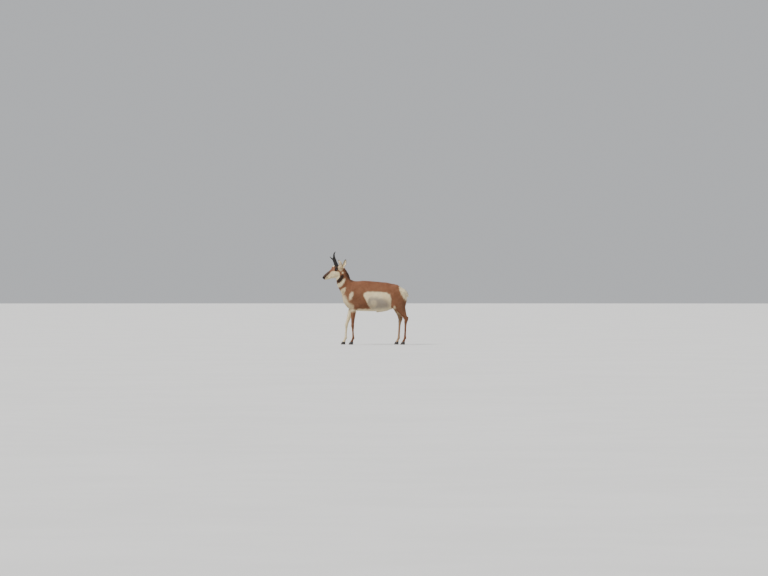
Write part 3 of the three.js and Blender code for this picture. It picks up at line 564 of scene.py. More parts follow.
    def combed(self, p: Array) -> tuple[Array, Array]:
        """Finds which part each point belongs to and the way its hair lies.

        Args:
            p: Points on the skin.

        Returns:
            The number of each point's part, in the order of self.parts, and its lie as a direction.
        """
        away = np.stack([sweep.distance(p) for sweep in self.parts.values()])
        part = away.argmin(0)
        weight = np.exp(-(away - away.min(0)) / 18)
        lie = np.zeros((len(p), 3))
        for share, (name, sweep) in zip(weight, self.parts.items(), strict=True):
            near = np.flatnonzero(share > 0.02)
            run = sweep.read(sweep.along, sweep.place(p[near]))
            if name == "neck":
                run = -run
            if name == "trunk":
                back = ramp(p[near, 0], 380, 500)
                down = 0.3 * ramp(p[near, 2], 860, 700) * (1 - back) + 1.2 * back
                run = run - np.array([0.0, 0.0, 1.0]) * down[:, None]
            lie[near] += share[near, None] * run
        return part, unit(lie)

    def unrolled(self, part: Array, p: Array) -> Array:
        """Reads points in the terms of their part's line.

        Args:
            part: The number of each point's part.
            p: The points.

        Returns:
            The share along the line, the way along it, the height above it and the way across it.
        """
        result = np.zeros((len(p), 4))
        for n, sweep in enumerate(self.parts.values()):
            mine = np.flatnonzero(part == n)
            if len(mine):
                result[mine] = sweep.unrolled(p[mine])
        return result

    def chart(self, part: Array, p: Array) -> Array:
        """Unwraps points on the skin: along their part's line, and round it."""
        share, _, up, across = self.unrolled(part, p).T
        return np.stack([share, np.arctan2(across, up) / (2 * math.pi) + 0.5], 1)


@dataclass
class Net:
    """A closed surface laid over a field of distances as a net of four-sided faces."""

    BLOCK = 4
    GRID_AT_ONCE = 100000
    NET_AT_ONCE = 60000

    points: Array
    quads: Array
    others: list[Array] = field(default_factory=list)

    @classmethod
    def sampled(cls, distance: Field, lines: Sequence[Array]) -> Array:
        """Reads the field where the lines cross, in full only in blocks that the surface may run through.

        Args:
            distance: The field.
            lines: Where the cells' walls lie along X, Y and Z.

        Returns:
            The field on the grid. Far from the surface only its sign counts.
        """
        block, count = cls.BLOCK, [len(line) for line in lines]
        starts = [np.arange(0, n, block) for n in count]
        inner = [np.minimum(at + block // 2, n - 1) for at, n in zip(starts, count, strict=True)]
        middles = [line[at] for line, at in zip(lines, inner, strict=True)]
        coarse = distance(np.stack(np.meshgrid(*middles, indexing="ij"), -1).reshape(-1, 3))
        coarse = coarse.reshape([len(start) for start in starts])
        reach = 0.75 * math.hypot(*(block * float(np.diff(line).max()) for line in lines))
        value = coarse.repeat(block, 0).repeat(block, 1).repeat(block, 2)
        value = value[tuple(slice(n) for n in count)].copy()
        near = np.argwhere(np.abs(value) < reach)
        points = np.stack([lines[c][near[:, c]] for c in range(3)], 1)
        parts = np.array_split(points, max(len(points) // cls.GRID_AT_ONCE, 1))
        value[tuple(near.T)] = np.concatenate([distance(part) for part in parts])
        return value

    @classmethod
    def over(cls, distance: Field, lines: Sequence[Array]) -> Net:
        """Lays one point in each cell that the surface crosses, and a face across each edge that it crosses.

        Args:
            distance: The field.
            lines: Where the cells' walls lie along X, Y and Z.

        Returns:
            The net.
        """
        count = [len(line) for line in lines]
        value = cls.sampled(distance, lines)
        inside = value < 0
        corners = [(i, j, k) for i in (0, 1) for j in (0, 1) for k in (0, 1)]

        def shifted(table: Array, corner: tuple[int, int, int]) -> Array:
            """Reads a table at one corner of every cell."""
            return table[tuple(slice(c, n - 1 + c) for c, n in zip(corner, count, strict=True))]

        held = sum(shifted(inside, corner).astype(np.int8) for corner in corners)
        cells = np.argwhere((held > 0) & (held < 8))
        number = np.full([n - 1 for n in count], -1)
        number[tuple(cells.T)] = np.arange(len(cells))
        total = np.zeros((len(cells), 3))
        crossings = np.zeros(len(cells))
        for a in corners:
            for axis in range(3):
                if a[axis]:
                    continue
                b = tuple(v + (n == axis) for n, v in enumerate(a))
                va = value[tuple((cells + a).T)]
                vb = value[tuple((cells + b).T)]
                cut = (va < 0) != (vb < 0)
                share = np.where(cut, va / np.where(cut, va - vb, 1), 0)
                place = np.stack([lines[c][cells[:, c] + a[c]] for c in range(3)], 1)
                place[:, axis] += share * (lines[axis][cells[:, axis] + 1] - lines[axis][cells[:, axis]])
                total += np.where(cut[:, None], place, 0)
                crossings += cut
        quads = []
        for axis in range(3):
            u, v = (axis + 1) % 3, (axis + 2) % 3
            here = tuple(slice(0, n - (c == axis)) for c, n in enumerate(count))
            there = tuple(slice(c == axis, None) for c in range(3))
            crossed = np.argwhere(inside[here] != inside[there])
            crossed = crossed[(crossed[:, u] > 0) & (crossed[:, v] > 0)]
            around = []
            for du, dv in ((0, 0), (1, 0), (1, 1), (0, 1)):
                cell = crossed.copy()
                cell[:, u] -= du
                cell[:, v] -= dv
                around.append(number[tuple(cell.T)])
            faces = np.stack(around, 1)
            outward = inside[tuple(crossed.T)]
            faces[~outward] = faces[~outward][:, ::-1]
            quads.append(faces)
        return cls(total / crossings[:, None], np.concatenate(quads))

    def normals(self) -> Array:
        """Averages the faces' normals at each point.

        Returns:
            One direction for each.
        """
        total = np.zeros_like(self.points)
        for faces in [self.quads, *self.others]:
            area = facing(self.points, faces)
            for corner in faces.T:
                for c in range(3):
                    total[:, c] += np.bincount(corner, area[:, c], len(total))
        return unit(total)

    def settle(self, distance: Field, rounds: int, most: float) -> Net:
        """Slides the points along their normals onto the surface where a field is 0.

        Args:
            distance: The field.
            rounds: How many times they are moved.
            most: The longest move each time.

        Returns:
            The same net.
        """
        for _ in range(rounds):
            parts = np.array_split(self.points, len(self.points) // self.NET_AT_ONCE + 1)
            value = np.concatenate([distance(part) for part in parts])
            self.points = self.points - self.normals() * np.clip(value, -most, most)[:, None]
        return self

    def finer(self, chosen: Array | None = None) -> Net:
        """Splits faces into four, and gives those that border them the new points on the shared edges.

        Args:
            chosen: Which of the four-sided faces are split, or all of them.

        Returns:
            The finer net.
        """
        if chosen is None:
            chosen = np.ones(len(self.quads), bool)
        edges = np.stack([self.quads, np.roll(self.quads, -1, axis=1)], -1).reshape(-1, 2)
        pairs, which = np.unique(np.sort(edges, axis=1), axis=0, return_inverse=True)
        which = which.reshape(-1, 4)
        split = np.zeros(len(pairs), bool)
        split[which[chosen].ravel()] = True
        number = np.cumsum(split) - 1 + len(self.points)
        middle = number[which]
        cut = self.quads[chosen]
        centre = np.arange(len(cut)) + len(self.points) + split.sum()
        points = np.concatenate([self.points, self.points[pairs[split]].mean(1), self.points[cut].mean(1)])
        before = np.roll(middle, 1, axis=1)
        quads = [np.stack([cut[:, n], middle[chosen, n], centre, before[chosen, n]], 1) for n in range(4)]
        others = list(self.others)
        pattern = (split[which] * [1, 2, 4, 8]).sum(1) * ~chosen
        quads.append(self.quads[~chosen & (pattern == 0)])
        for kind in range(1, 16):
            rows = pattern == kind
            if not rows.any():
                continue
            columns = []
            for n in range(4):
                columns.append(self.quads[rows, n])
                if kind >> n & 1:
                    columns.append(middle[rows, n])
            others.append(np.stack(columns, 1))
        return Net(points, np.concatenate(quads), others)


class Tone(Enum):
    """The colours of the coat, in the order of the channels that carry them, and last a painted shade for the
    lower flank.
    """

    PALE = 0
    DARK = 1
    RUSSET = 2
    # Painted shade: a greyish tone for the lower flank where it lies in shade.
    PAINTED_SHADE = 3


@dataclass(frozen=True)
class Patch:
    """One marking: an outline in the side view, or in the head's own terms, filled with a tone."""

    tone: Tone
    outline: tuple[tuple[float, float], ...]
    soft: float = 14.0
    strength: float = 1.0
    on_right: float = 1.0

    def cover(self, u: Array, v: Array) -> Array:
        """Reads how fully the patch covers each place.

        Args:
            u: The first coordinate of each place.
            v: The second.

        Returns:
            From 0 to the patch's strength.
        """
        corners = np.array(self.outline, float)
        near = np.full(len(u), 1e9)
        inside = np.zeros(len(u), bool)
        for (u0, v0), (u1, v1) in zip(corners, np.roll(corners, -1, axis=0), strict=True):
            du, dv = u1 - u0, v1 - v0
            t = np.clip(((u - u0) * du + (v - v0) * dv) / (du * du + dv * dv), 0, 1)
            near = np.minimum(near, np.hypot(u - u0 - t * du, v - v0 - t * dv))
            over = (v0 > v) != (v1 > v)
            inside ^= over & (u < u0 + (v - v0) * du / (dv if dv else 1e-9))
        away = np.where(inside, -near, near)
        return self.strength * ramp(away, self.soft / 2, -self.soft / 2)


def ring_of(u: float, v: float, wide: float, tall: float) -> tuple[tuple[float, float], ...]:
    """Lays an oval outline round a middle, from its two half sizes."""
    turns = [2 * math.pi * n / 12 for n in range(12)]
    return tuple((u + wide * math.cos(t), v + tall * math.sin(t)) for t in turns)


def toned(count: int, shares: dict[Tone, Array | float]) -> Array:
    """Lays out the shares of the tones for each of a number of points. A tone that isn't given has none."""
    return np.stack([np.zeros(count) + shares.get(tone, 0) for tone in Tone], 1)


@dataclass
class Markings:
    """The buck's colours, with painted shade on the lower flank, the same for the skin and for every tuft that
    grows from it.
    """

    patches: tuple[Patch, ...] = (
        Patch(Tone.PALE, ((-323, 709), (-291, 690), (-262, 650), (-238, 600), (-175, 555), (-172, 500),
                          (-235, 505), (-300, 560), (-340, 640)), 40, 0.8),
        Patch(Tone.PALE, ((-200, 744), (-178, 736), (-186, 690), (-210, 636), (-230, 628), (-240, 668),
                          (-222, 716)), 18, 0.88),
        Patch(Tone.PALE, ((-38, 704), (-24, 727), (17, 739), (187, 735), (277, 722), (322, 698), (340, 650),
                          (346, 590), (352, 540), (330, 400), (70, 400), (52, 512), (26, 560), (-8, 626),
                          (-30, 668)), 9),
        # Painted shade on the lower flank, weaker on the right side.
        Patch(Tone.PAINTED_SHADE, ((38, 640), (66, 662), (150, 656), (230, 640), (290, 606), (318, 556), (300, 505),
                          (70, 500), (30, 570)), 70, 0.72, on_right=0.35),
        # A round spot where the painted shade above is lighter and the flank's white shows more, weaker on the
        # right side.
        Patch(Tone.PALE, ((66, 620), (100, 632), (138, 612), (146, 570), (128, 530), (92, 520), (66, 548),
                          (56, 588)), 34, 0.6, on_right=0.4),
        # Painted shade: a darker arc in front of the lighter spot on the lower flank, weaker on the right
        # side.
        Patch(Tone.DARK, ((40, 652), (20, 626), (20, 586), (34, 572), (44, 600),
                          (56, 640)), 26, 0.36, on_right=0.35),
        Patch(Tone.PALE, ((454, 814), (500, 806), (700, 806), (700, 626), (580, 628), (534, 660), (498, 708),
                          (468, 764)), 14),
        Patch(Tone.PALE, ring_of(394, 528, 15, 27), 16, 0.8),
        Patch(Tone.PALE, ((-282, 938), (-294, 890), (-328, 836), (-372, 808), (-420, 832), (-400, 862),
                          (-358, 870), (-318, 920)), 12),
        Patch(Tone.PALE, ((-353, 776), (-300, 806), (-281, 802), (-290, 752), (-318, 703),
                          (-370, 700)), 12, 0.9),
        Patch(Tone.RUSSET, ((-322, 776), (-312, 740), (-318, 712), (-332, 730)), 14, 0.5),
        Patch(Tone.DARK, ((-300, 1080), (-262, 1064), (-225, 960), (-190, 885), (-222, 880), (-262, 950),
                          (-296, 1030)), 20, 0.62),
        Patch(Tone.DARK, ((-316, 986), (-300, 955), (-322, 905), (-372, 868), (-420, 868), (-410, 918),
                          (-366, 946)), 14, 0.92),
    )
    face: tuple[Patch, ...] = (
        Patch(Tone.PALE, ((-20, -24), (20, -19), (60, -6), (110, 9), (150, 22), (190, 4), (226, -14),
                          (238, -48), (222, -92), (160, -110), (-20, -70)), 9),
        Patch(Tone.PALE, ((242, 10), (248, 38), (300, 62), (306, 20), (286, -20), (262, -28),
                          (250, -10)), 16, 0.62),
        Patch(Tone.DARK, ((-30, -19), (19, -19), (60, -5), (105, 10), (140, 24), (168, 38), (190, 62),
                          (196, 90), (120, 90), (-30, 60)), 10, 0.84),
        Patch(Tone.RUSSET, ((132, 36), (168, 52), (204, 70), (206, 110), (132, 110)), 64, 0.85),
        Patch(Tone.RUSSET, ((120, 18), (150, 24), (176, 36), (196, 60), (170, 66), (140, 50)), 16, 0.8),
        Patch(Tone.PALE, ring_of(205, 80, 15, 15), 9),
        Patch(Tone.DARK, ((190, 4), (201, 26), (214, 40), (214, 70), (254, 78), (256, 44), (254, 14),
                          (228, -2)), 10, 0.9),
        Patch(Tone.PALE, ring_of(282, -54, 11, 12), 10),
    )

    def read(self, p: Array) -> Array:
        """Reads the tones at points of the skin.

        Args:
            p: The points.

        Returns:
            Four shares for each point, in the order of the tones.
        """
        wave = 3.2 * np.sin(p @ [0.11, 0.09, 0.05]) + 2.4 * np.sin(p @ [-0.07, 0.13, 0.21] + 1.3)
        u, v, y = p[:, 0] + wave, p[:, 2] + 0.8 * wave, np.abs(p[:, 1])
        s, h = head_place(p)
        tones = np.zeros((len(p), 4))

        def paint(tone: Tone, cover: Array) -> None:
            """Lays one tone over what is there."""
            tones[...] *= (1 - cover)[:, None]
            tones[:, tone.value] += cover

        on_face = ramp(s, 330, 296) * ramp(h, -150, -110)
        paint(Tone.RUSSET, 0.55 * ramp(v, 740, 850) * (1 - on_face))
        legs = ramp(v, 500, 440)
        inner = ramp(y, 76, 62)
        below_hock = ramp(u, 260, 320) * ramp(v, 500, 410)
        paint(Tone.PALE, legs * inner * (1 - 0.72 * below_hock))
        belly = ramp(v, 512, 486) * ramp(u, -260, -220) * ramp(u, 420, 380)
        paint(Tone.PALE, belly * (1 - legs * (1 - inner)))
        paint(Tone.PALE, ramp(y, 60, 36) * ramp(v, 640, 560))
        # Painted shade: the lower back of the thigh, below the rump, a little darker.
        paint(Tone.DARK, 0.3 * ramp(u, 440, 560) * ramp(v, 680, 560) * ramp(v, 430, 480))
        paint(Tone.RUSSET, 0.45 * legs * (1 - inner) * (0.5 + 0.5 * np.sin(0.021 * v + 0.4)))
        paint(Tone.DARK, 0.22 * (1 - inner) * ramp(v, 120, 50))
        for patch in self.patches:
            cover = patch.cover(u, v) * np.where(p[:, 1] > 0, patch.on_right, 1.0)
            paint(patch.tone, cover * (1 - on_face if patch.tone is not Tone.DARK else 1))
        throat = ramp(y, 34, 14) * ramp(u, -340, -366) * ramp(v, 850, 870) * ramp(v, 960, 930)
        paint(Tone.RUSSET, 0.75 * throat)
        for patch in self.face:
            paint(patch.tone, patch.cover(s + 0.3 * wave, h + 0.3 * wave) * on_face)
        crown = ramp(y, 30, 16) * ramp(s, 224, 240) * ramp(h, 20, 45) * ramp(s, 345, 320)
        paint(Tone.RUSSET, 0.85 * crown)
        paint(Tone.DARK, 0.25 * crown)
        paint(Tone.DARK, ramp(s, 26, 14) * on_face)
        return np.clip(tones, 0, 1)


def piece_from(
    name: str, points: Array, faces: Sequence[Array], slot: str, finish: Material, **marks: Array
) -> Object:
    """Makes one piece of the model from points in the buck's own frame.

    Args:
        name: The piece's name.
        points: Its points.
        faces: Tables of faces, with rows of one length in each table.
        slot: The record's slot that its finish belongs to. It is not used.
        finish: Its finish.
        marks: Numbers to store at its points for the finish to read: one, three or four for each.

    Returns:
        The object, riding on the still body.
    """
    mesh = bpy.data.meshes.new(name)
    corners = np.concatenate([table.ravel() for table in faces]).astype(np.int32)
    sizes = np.concatenate([np.full(len(table), table.shape[1]) for table in faces])
    mesh.vertices.add(len(points))
    mesh.vertices.foreach_set("co", (points * MM + SHIFT).astype(np.float32).ravel())
    mesh.loops.add(len(corners))
    mesh.loops.foreach_set("vertex_index", corners)
    mesh.polygons.add(len(sizes))
    mesh.polygons.foreach_set("loop_start", (np.cumsum(sizes) - sizes).astype(np.int32))
    mesh.polygons.foreach_set("use_smooth", np.ones(len(sizes), bool))
    mesh.update(calc_edges=True)
    for title, values in marks.items():
        kind, word = STORED[values.shape[1] if values.ndim > 1 else 1]
        stored = mesh.attributes.new(title, kind, "POINT")
        stored.data.foreach_set(word, values.astype(np.float32).ravel())
    mesh.materials.append(finish)
    made = bpy.data.objects.new(name, mesh)
    bpy.context.scene.collection.objects.link(made)
    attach(made, "root")
    return made


@dataclass
class Strands:
    """Tufts or locks, each a closed blade that tapers, as tables with one row for each."""

    SUNK = 1.2
    ON_MAP = 0.003

    root: Array
    out: Array
    lie: Array
    length: Array
    height: Array
    width: Array
    tones: Array
    chance: Array
    chart: Array
    bends: int = 0

    def __len__(self) -> int:
        """Counts the strands."""
        return len(self.root)

    def only(self, rows: Array) -> Strands:
        """Keeps some of the strands."""
        return Strands(*(getattr(self, name)[rows] for name in STRAND_TABLES), bends=self.bends)

    def piece(self, name: str, slot: str, finish: Material) -> Object:
        """Builds all the strands as one piece.

        Args:
            name: The piece's name.
            slot: The record's slot that its finish belongs to.
            finish: The hair's finish.

        Returns:
            The object, with its tones, its strands' own numbers and its map for baking.
        """
        run = laid(self.lie, self.out)
        across = np.cross(run, self.out)
        size, half, up = self.length[:, None], self.width[:, None] / 2, self.height[:, None]
        sway = (self.chance[:, None] - 0.5) * 0.5

        def spine(t: float) -> Array:
            """Places a point of each strand's middle line, from 0 at its root to 1 at its tip."""
            rise = up * (1 - (1 - t) ** 1.7)
            return self.root + run * size * t + self.out * rise + across * size * sway * t * t

        columns, places = [], []
        for k in range(self.bends + 1):
            t = k * 0.92 / (self.bends + 0.6)
            full = 1 - 0.75 * t**1.6
            ahead = t if self.bends else 0.34
            foot = spine(t) - self.out * (0.0 if k else self.SUNK)
            side = across * half * full
            ridge = spine(ahead) + self.out * half * (0.5 if self.bends else 0.35) * full
            columns += [foot - side, foot + side, ridge]
            low, high = self.ON_MAP * t, self.ON_MAP * ahead
            places += [(-self.ON_MAP / 2, low), (self.ON_MAP / 2, low), (0.0, high)]
        points = np.stack([*columns, spine(1.0)], 1)
        places = np.array([*places, (0.0, self.ON_MAP)])
        each = len(places)
        sides = ((0, 2), (2, 1), (1, 0))
        faces = [(0, 1, 2)]
        for low in range(0, each - 4, 3):
            high = low + 3
            for a, b in sides:
                faces += [(low + a, low + b, high + b), (low + a, high + b, high + a)]
        faces += [(each - 4 + a, each - 4 + b, each - 1) for a, b in sides]
        table = np.array(faces)
        first = points[0][table]
        if np.einsum("ij,ij->", np.cross(first[:, 0], first[:, 1]), first[:, 2]) < 0:
            table = table[:, ::-1]
        table = (table[None] + (np.arange(len(self)) * each)[:, None, None]).reshape(-1, 3)
        along = places[:, 1] / self.ON_MAP
        strand = np.zeros((len(self), each, 4))
        strand[..., 0] = self.chance[:, None]
        strand[..., 1] = along
        marks = {"strand": strand.reshape(-1, 4), "tones": self.tones.repeat(each, 0)}
        made = piece_from(name, points.reshape(-1, 3), [table], slot, finish, **marks)
        corners = np.empty(len(made.data.loops), np.int32)
        made.data.loops.foreach_get("vertex_index", corners)
        spread = (self.chart[:, None, :] + places).reshape(-1, 2)
        layer = made.data.uv_layers.new(name="OFBake")
        layer.data.foreach_set("uv", spread[corners].astype(np.float32).ravel())
        lean = np.zeros((len(self), each, 3))
        lean += self.out[:, None] + 0.25 * run[:, None] * along[None, :, None]
        lean += 0.4 * across[:, None] * np.array([-1.0, 1.0, 0.0] * (self.bends + 1) + [0.0])[None, :, None]
        made.data.normals_split_custom_set_from_vertices(unit(lean).reshape(-1, 3))
        return made


class Graph:
    """Lays nodes in one tree."""

    def __init__(self, tree: Tree) -> None:
        """Starts with the tree to fill."""
        self.tree = tree

    def feed(self, socket: Socket, value: object) -> None:
        """Links a socket into another, or sets it to a plain value.

        Args:
            socket: The socket that takes it in.
            value: A socket or a plain value.
        """
        if isinstance(value, Socket):
            self.tree.links.new(value, socket)
        else:
            socket.default_value = value

    def node(self, kind: str, inputs: dict | None = None, **settings: object) -> Node:
        """Adds a node.

        Args:
            kind: Its type's name.
            inputs: What goes into its sockets, by their names or numbers.
            settings: Its own settings.

        Returns:
            The node.
        """
        made = self.tree.nodes.new(kind)
        for name, value in settings.items():
            setattr(made, name, value)
        for key, value in (inputs or {}).items():
            self.feed(made.inputs[key], value)
        return made

    def math(self, operation: str, *values: object, clamp: bool = False) -> Socket:
        """Adds a sum of numbers, from sockets or plain numbers."""
        made = self.node("ShaderNodeMath", dict(enumerate(values)), operation=operation, use_clamp=clamp)
        return made.outputs[0]

    def times(self, a: object, b: object) -> Socket:
        """Multiplies two numbers."""
        return self.math("MULTIPLY", a, b)

    def vector(self, operation: str, first: object, second: object) -> Socket:
        """Adds a sum of two vectors, or of a vector and the number that scales it."""
        inputs = {0: first, "Scale" if operation == "SCALE" else 1: second}
        return self.node("ShaderNodeVectorMath", inputs, operation=operation).outputs[0]

    def mix(self, share: object, a: object, b: object) -> Socket:
        """Mixes two colours, with a share of the second."""
        a, b = (value if isinstance(value, Socket) else (*value, 1.0) for value in (a, b))
        return self.node("ShaderNodeMix", {0: share, 6: a, 7: b}, data_type="RGBA").outputs[2]

    def noise(self, place: object, scale: float, detail: float) -> Socket:
        """Adds a noise, read at a place, whose number lies about 0.5."""
        inputs = {"Vector": place, "Scale": scale, "Detail": detail, "Roughness": 0.55}
        return self.node("ShaderNodeTexNoise", inputs).outputs[0]

    def span(self, value: object, low: float, high: float, to_low: float = 0, to_high: float = 1) -> Socket:
        """Maps a number from one range smoothly to another, and keeps it there."""
        inputs = dict(enumerate((value, low, high, to_low, to_high)))
        return self.node("ShaderNodeMapRange", inputs, interpolation_type="SMOOTHSTEP").outputs[0]

    def read(self, name: str) -> Node:
        """Reads numbers that are stored at the piece's points."""
        return self.node("ShaderNodeAttribute", attribute_name=name)

    def split(self, kind: str, value: Socket) -> list[Socket]:
        """Splits a colour ("Color") or a vector ("XYZ") into its three numbers."""
        return list(self.node(f"ShaderNodeSeparate{kind}", {0: value}).outputs)

    def use(self, group: Tree, **values: object) -> Socket:
        """Places a node group and gives what it puts out."""
        return self.node("ShaderNodeGroup", values, node_tree=group).outputs[0]


class Kind(Enum):
    """The kinds of sockets that the groups have."""

    NUMBER = "NodeSocketFloat"
    COLOUR = "NodeSocketColor"
    VECTOR = "NodeSocketVector"


def new_group(name: str, takes: dict[str, Kind], gives: str, kind: Kind) -> tuple[Graph, Node, Socket]:
    """Starts a shader node group.

    Args:
        name: The group's name.
        takes: Its inputs.
        gives: The name of its one output.
        kind: The kind of that output.

    Returns:
        The graph to fill, the node of its inputs and the socket that its result goes to.
    """
    tree = bpy.data.node_groups.new(name, "ShaderNodeTree")
    for title, entry in takes.items():
        tree.interface.new_socket(title, in_out="INPUT", socket_type=entry.value)
    tree.interface.new_socket(gives, in_out="OUTPUT", socket_type=kind.value)
    graph = Graph(tree)
    return graph, graph.node("NodeGroupInput"), graph.node("NodeGroupOutput").inputs[gives]


class Effects:
    """The effects that several finishes share, each a node group built once."""

    def __init__(self) -> None:
        """Builds the groups."""
        self.mottle = self.build_mottle()
        self.pelage = self.build_pelage()
        self.streak = self.build_streak()
        self.grain = self.build_grain()

    def build_mottle(self) -> Tree:
        """Builds broad, soft patches of lighter and darker.

        Returns:
            The group, from a size to a number from 0 to 1.
        """
        graph, takes, result = new_group("mottle", {"Fineness": Kind.NUMBER}, "Amount", Kind.NUMBER)
        place = graph.node("ShaderNodeTexCoord").outputs["Object"]
        scaled = graph.vector("SCALE", place, takes.outputs["Fineness"])
        broad = graph.noise(scaled, 1.0, 2.0)
        fine = graph.noise(scaled, 4.3, 3.0)
        both = graph.math("MULTIPLY_ADD", fine, 0.45, graph.times(broad, 0.55))
        graph.feed(result, graph.span(both, 0.33, 0.67))
        return graph.tree

    def build_pelage(self) -> Tree:
        """Builds the colour of hair from its tones and painted shade, its strand's chance and the place along
        the strand.

        Returns:
            The group.
        """
        numbers = dict.fromkeys(("Grey", "Chance", "Along"), Kind.NUMBER)
        graph, takes, result = new_group("pelage", {"Tones": Kind.COLOUR, **numbers}, "Colour", Kind.COLOUR)
        broad = graph.use(self.mottle, Fineness=7.0)
        fine = graph.use(self.mottle, Fineness=34.0)
        chance, painted_shade = takes.outputs["Chance"], takes.outputs["Grey"]
        pale_share, dark_share, russet_share = graph.split("Color", takes.outputs["Tones"])
        tan = graph.mix(broad, (0.245, 0.100, 0.046), (0.335, 0.155, 0.078))
        tan = graph.mix(graph.times(fine, 0.35), tan, (0.200, 0.070, 0.030))
        russet = graph.mix(broad, (0.165, 0.052, 0.022), (0.220, 0.078, 0.034))
        pale = graph.mix(broad, (0.95, 0.82, 0.54), (0.89, 0.72, 0.42))
        dark = graph.mix(chance, (0.012, 0.007, 0.005), (0.038, 0.020, 0.013))
        both, others = graph.math("ADD", pale_share, dark_share), graph.math("ADD", russet_share, painted_shade)
        rest = graph.math("SUBTRACT", 1.0, graph.math("ADD", both, others), clamp=True)
        total = graph.vector("SCALE", tan, rest)
        for colour, share in ((russet, russet_share), (pale, pale_share), (dark, dark_share)):
            total = graph.vector("ADD", total, graph.vector("SCALE", colour, share))
        # Painted shade: a dull greyish brown, laid in by the share of painted shade, for the lower flank.
        total = graph.vector("ADD", total, graph.vector("SCALE", (0.30, 0.245, 0.235), painted_shade))
        bright = graph.math("MULTIPLY_ADD", chance, 0.34, 0.83)
        bright = graph.times(bright, graph.math("MULTIPLY_ADD", takes.outputs["Along"], 0.26, 0.84))
        graph.feed(result, graph.vector("SCALE", total, bright))
        return graph.tree

    def build_streak(self) -> Tree:
        """Builds fine streaks along the lie of hair or the growth of horn.

        Returns:
            The group, from a place combed along the lie, in millimetres, to a height from 0 to 1.
        """
        takes = {"Combed": Kind.VECTOR, "Fineness": Kind.NUMBER}
        graph, takes, result = new_group("streak", takes, "Height", Kind.NUMBER)
        stretched = graph.vector("MULTIPLY", takes.outputs["Combed"], (0.09, 1.0, 1.0))
        scaled = graph.vector("SCALE", stretched, takes.outputs["Fineness"])
        coarse = graph.noise(scaled, 0.35, 2.0)
        fine = graph.noise(scaled, 1.1, 2.0)
        graph.feed(result, graph.math("MULTIPLY_ADD", fine, 0.6, graph.times(coarse, 0.4)))
        return graph.tree

    def build_grain(self) -> Tree:
        """Builds the small pits and pebbles of bare skin, horn and hoof.

        Returns:
            The group, from a fineness to a height from 0 to 1.
        """
        graph, takes, result = new_group("grain", {"Fineness": Kind.NUMBER}, "Height", Kind.NUMBER)
        place = graph.node("ShaderNodeTexCoord").outputs["Object"]
        scaled = graph.vector("SCALE", place, takes.outputs["Fineness"])
        pebble = graph.node("ShaderNodeTexVoronoi", {"Vector": scaled}, feature="SMOOTH_F1").outputs[0]
        soft = graph.noise(scaled, 2.4, 3.0)
        graph.feed(result, graph.math("MULTIPLY_ADD", soft, 0.5, graph.times(pebble, 0.7)))
        return graph.tree


class Finish:
    """A material that a finish fills: its graph, its shader and its bump."""

    WET_ROUGHNESS = 0.04

    def __init__(
        self, name: str, roughness: float, specular: float, sheen: float = 0.0, coat: float = 0.0
    ) -> None:
        """Starts the material with its plain settings.

        Args:
            name: The material's name.
            roughness: How rough it is where nothing changes it.
            specular: How strongly it mirrors.
            sheen: How much soft light its edge takes.
            coat: How much of a wet layer it has.
        """
        self.material = bpy.data.materials.new(name)
        self.material.use_nodes = True
        self.graph = Graph(self.material.node_tree)
        self.shader = self.material.node_tree.nodes["Principled BSDF"]
        self.shader.inputs["Roughness"].default_value = roughness
        self.shader.inputs["Specular IOR Level"].default_value = specular
        self.shader.inputs["Sheen Weight"].default_value = sheen
        self.shader.inputs["Coat Weight"].default_value = coat
        self.shader.inputs["Coat Roughness"].default_value = self.WET_ROUGHNESS

    def colour(self, value: Socket) -> None:
        """Sets the base colour."""
        self.graph.feed(self.shader.inputs["Base Color"], value)

    def roughness(self, value: Socket) -> None:
        """Sets how rough it is from place to place."""
        self.graph.feed(self.shader.inputs["Roughness"], value)

    def bump(self, height: Socket, depth: float, strength: float) -> None:
        """Raises the surface in the light by a height, and the depth in metres that its 1 stands for."""
        inputs = {"Strength": strength, "Distance": depth, "Height": height}
        self.graph.feed(self.shader.inputs["Normal"], self.graph.node("ShaderNodeBump", inputs).outputs[0])


@dataclass(frozen=True)
class HairFinish:
    """Hair in strands: its tones, with each strand a little lighter or darker than the next."""

    name: str
    roughness: float = 0.62
    sheen: float = 0.12

    def material(self, effects: Effects) -> Material:
        """Builds the material.

        Args:
            effects: The shared effects.

        Returns:
            The material.
        """
        finish = Finish(self.name, self.roughness, 0.28, self.sheen)
        graph = finish.graph
        tones = graph.read("tones").outputs
        chance, along, _ = graph.split("Color", graph.read("strand").outputs["Color"])
        # The alpha of the tones carries the painted shade of the lower flank.
        painted_shade = tones["Alpha"]
        finish.colour(graph.use(effects.pelage, Tones=tones["Color"], Grey=painted_shade, Chance=chance, Along=along))
        finish.roughness(graph.span(chance, 0, 1, self.roughness - 0.1, self.roughness + 0.12))
        return finish.material


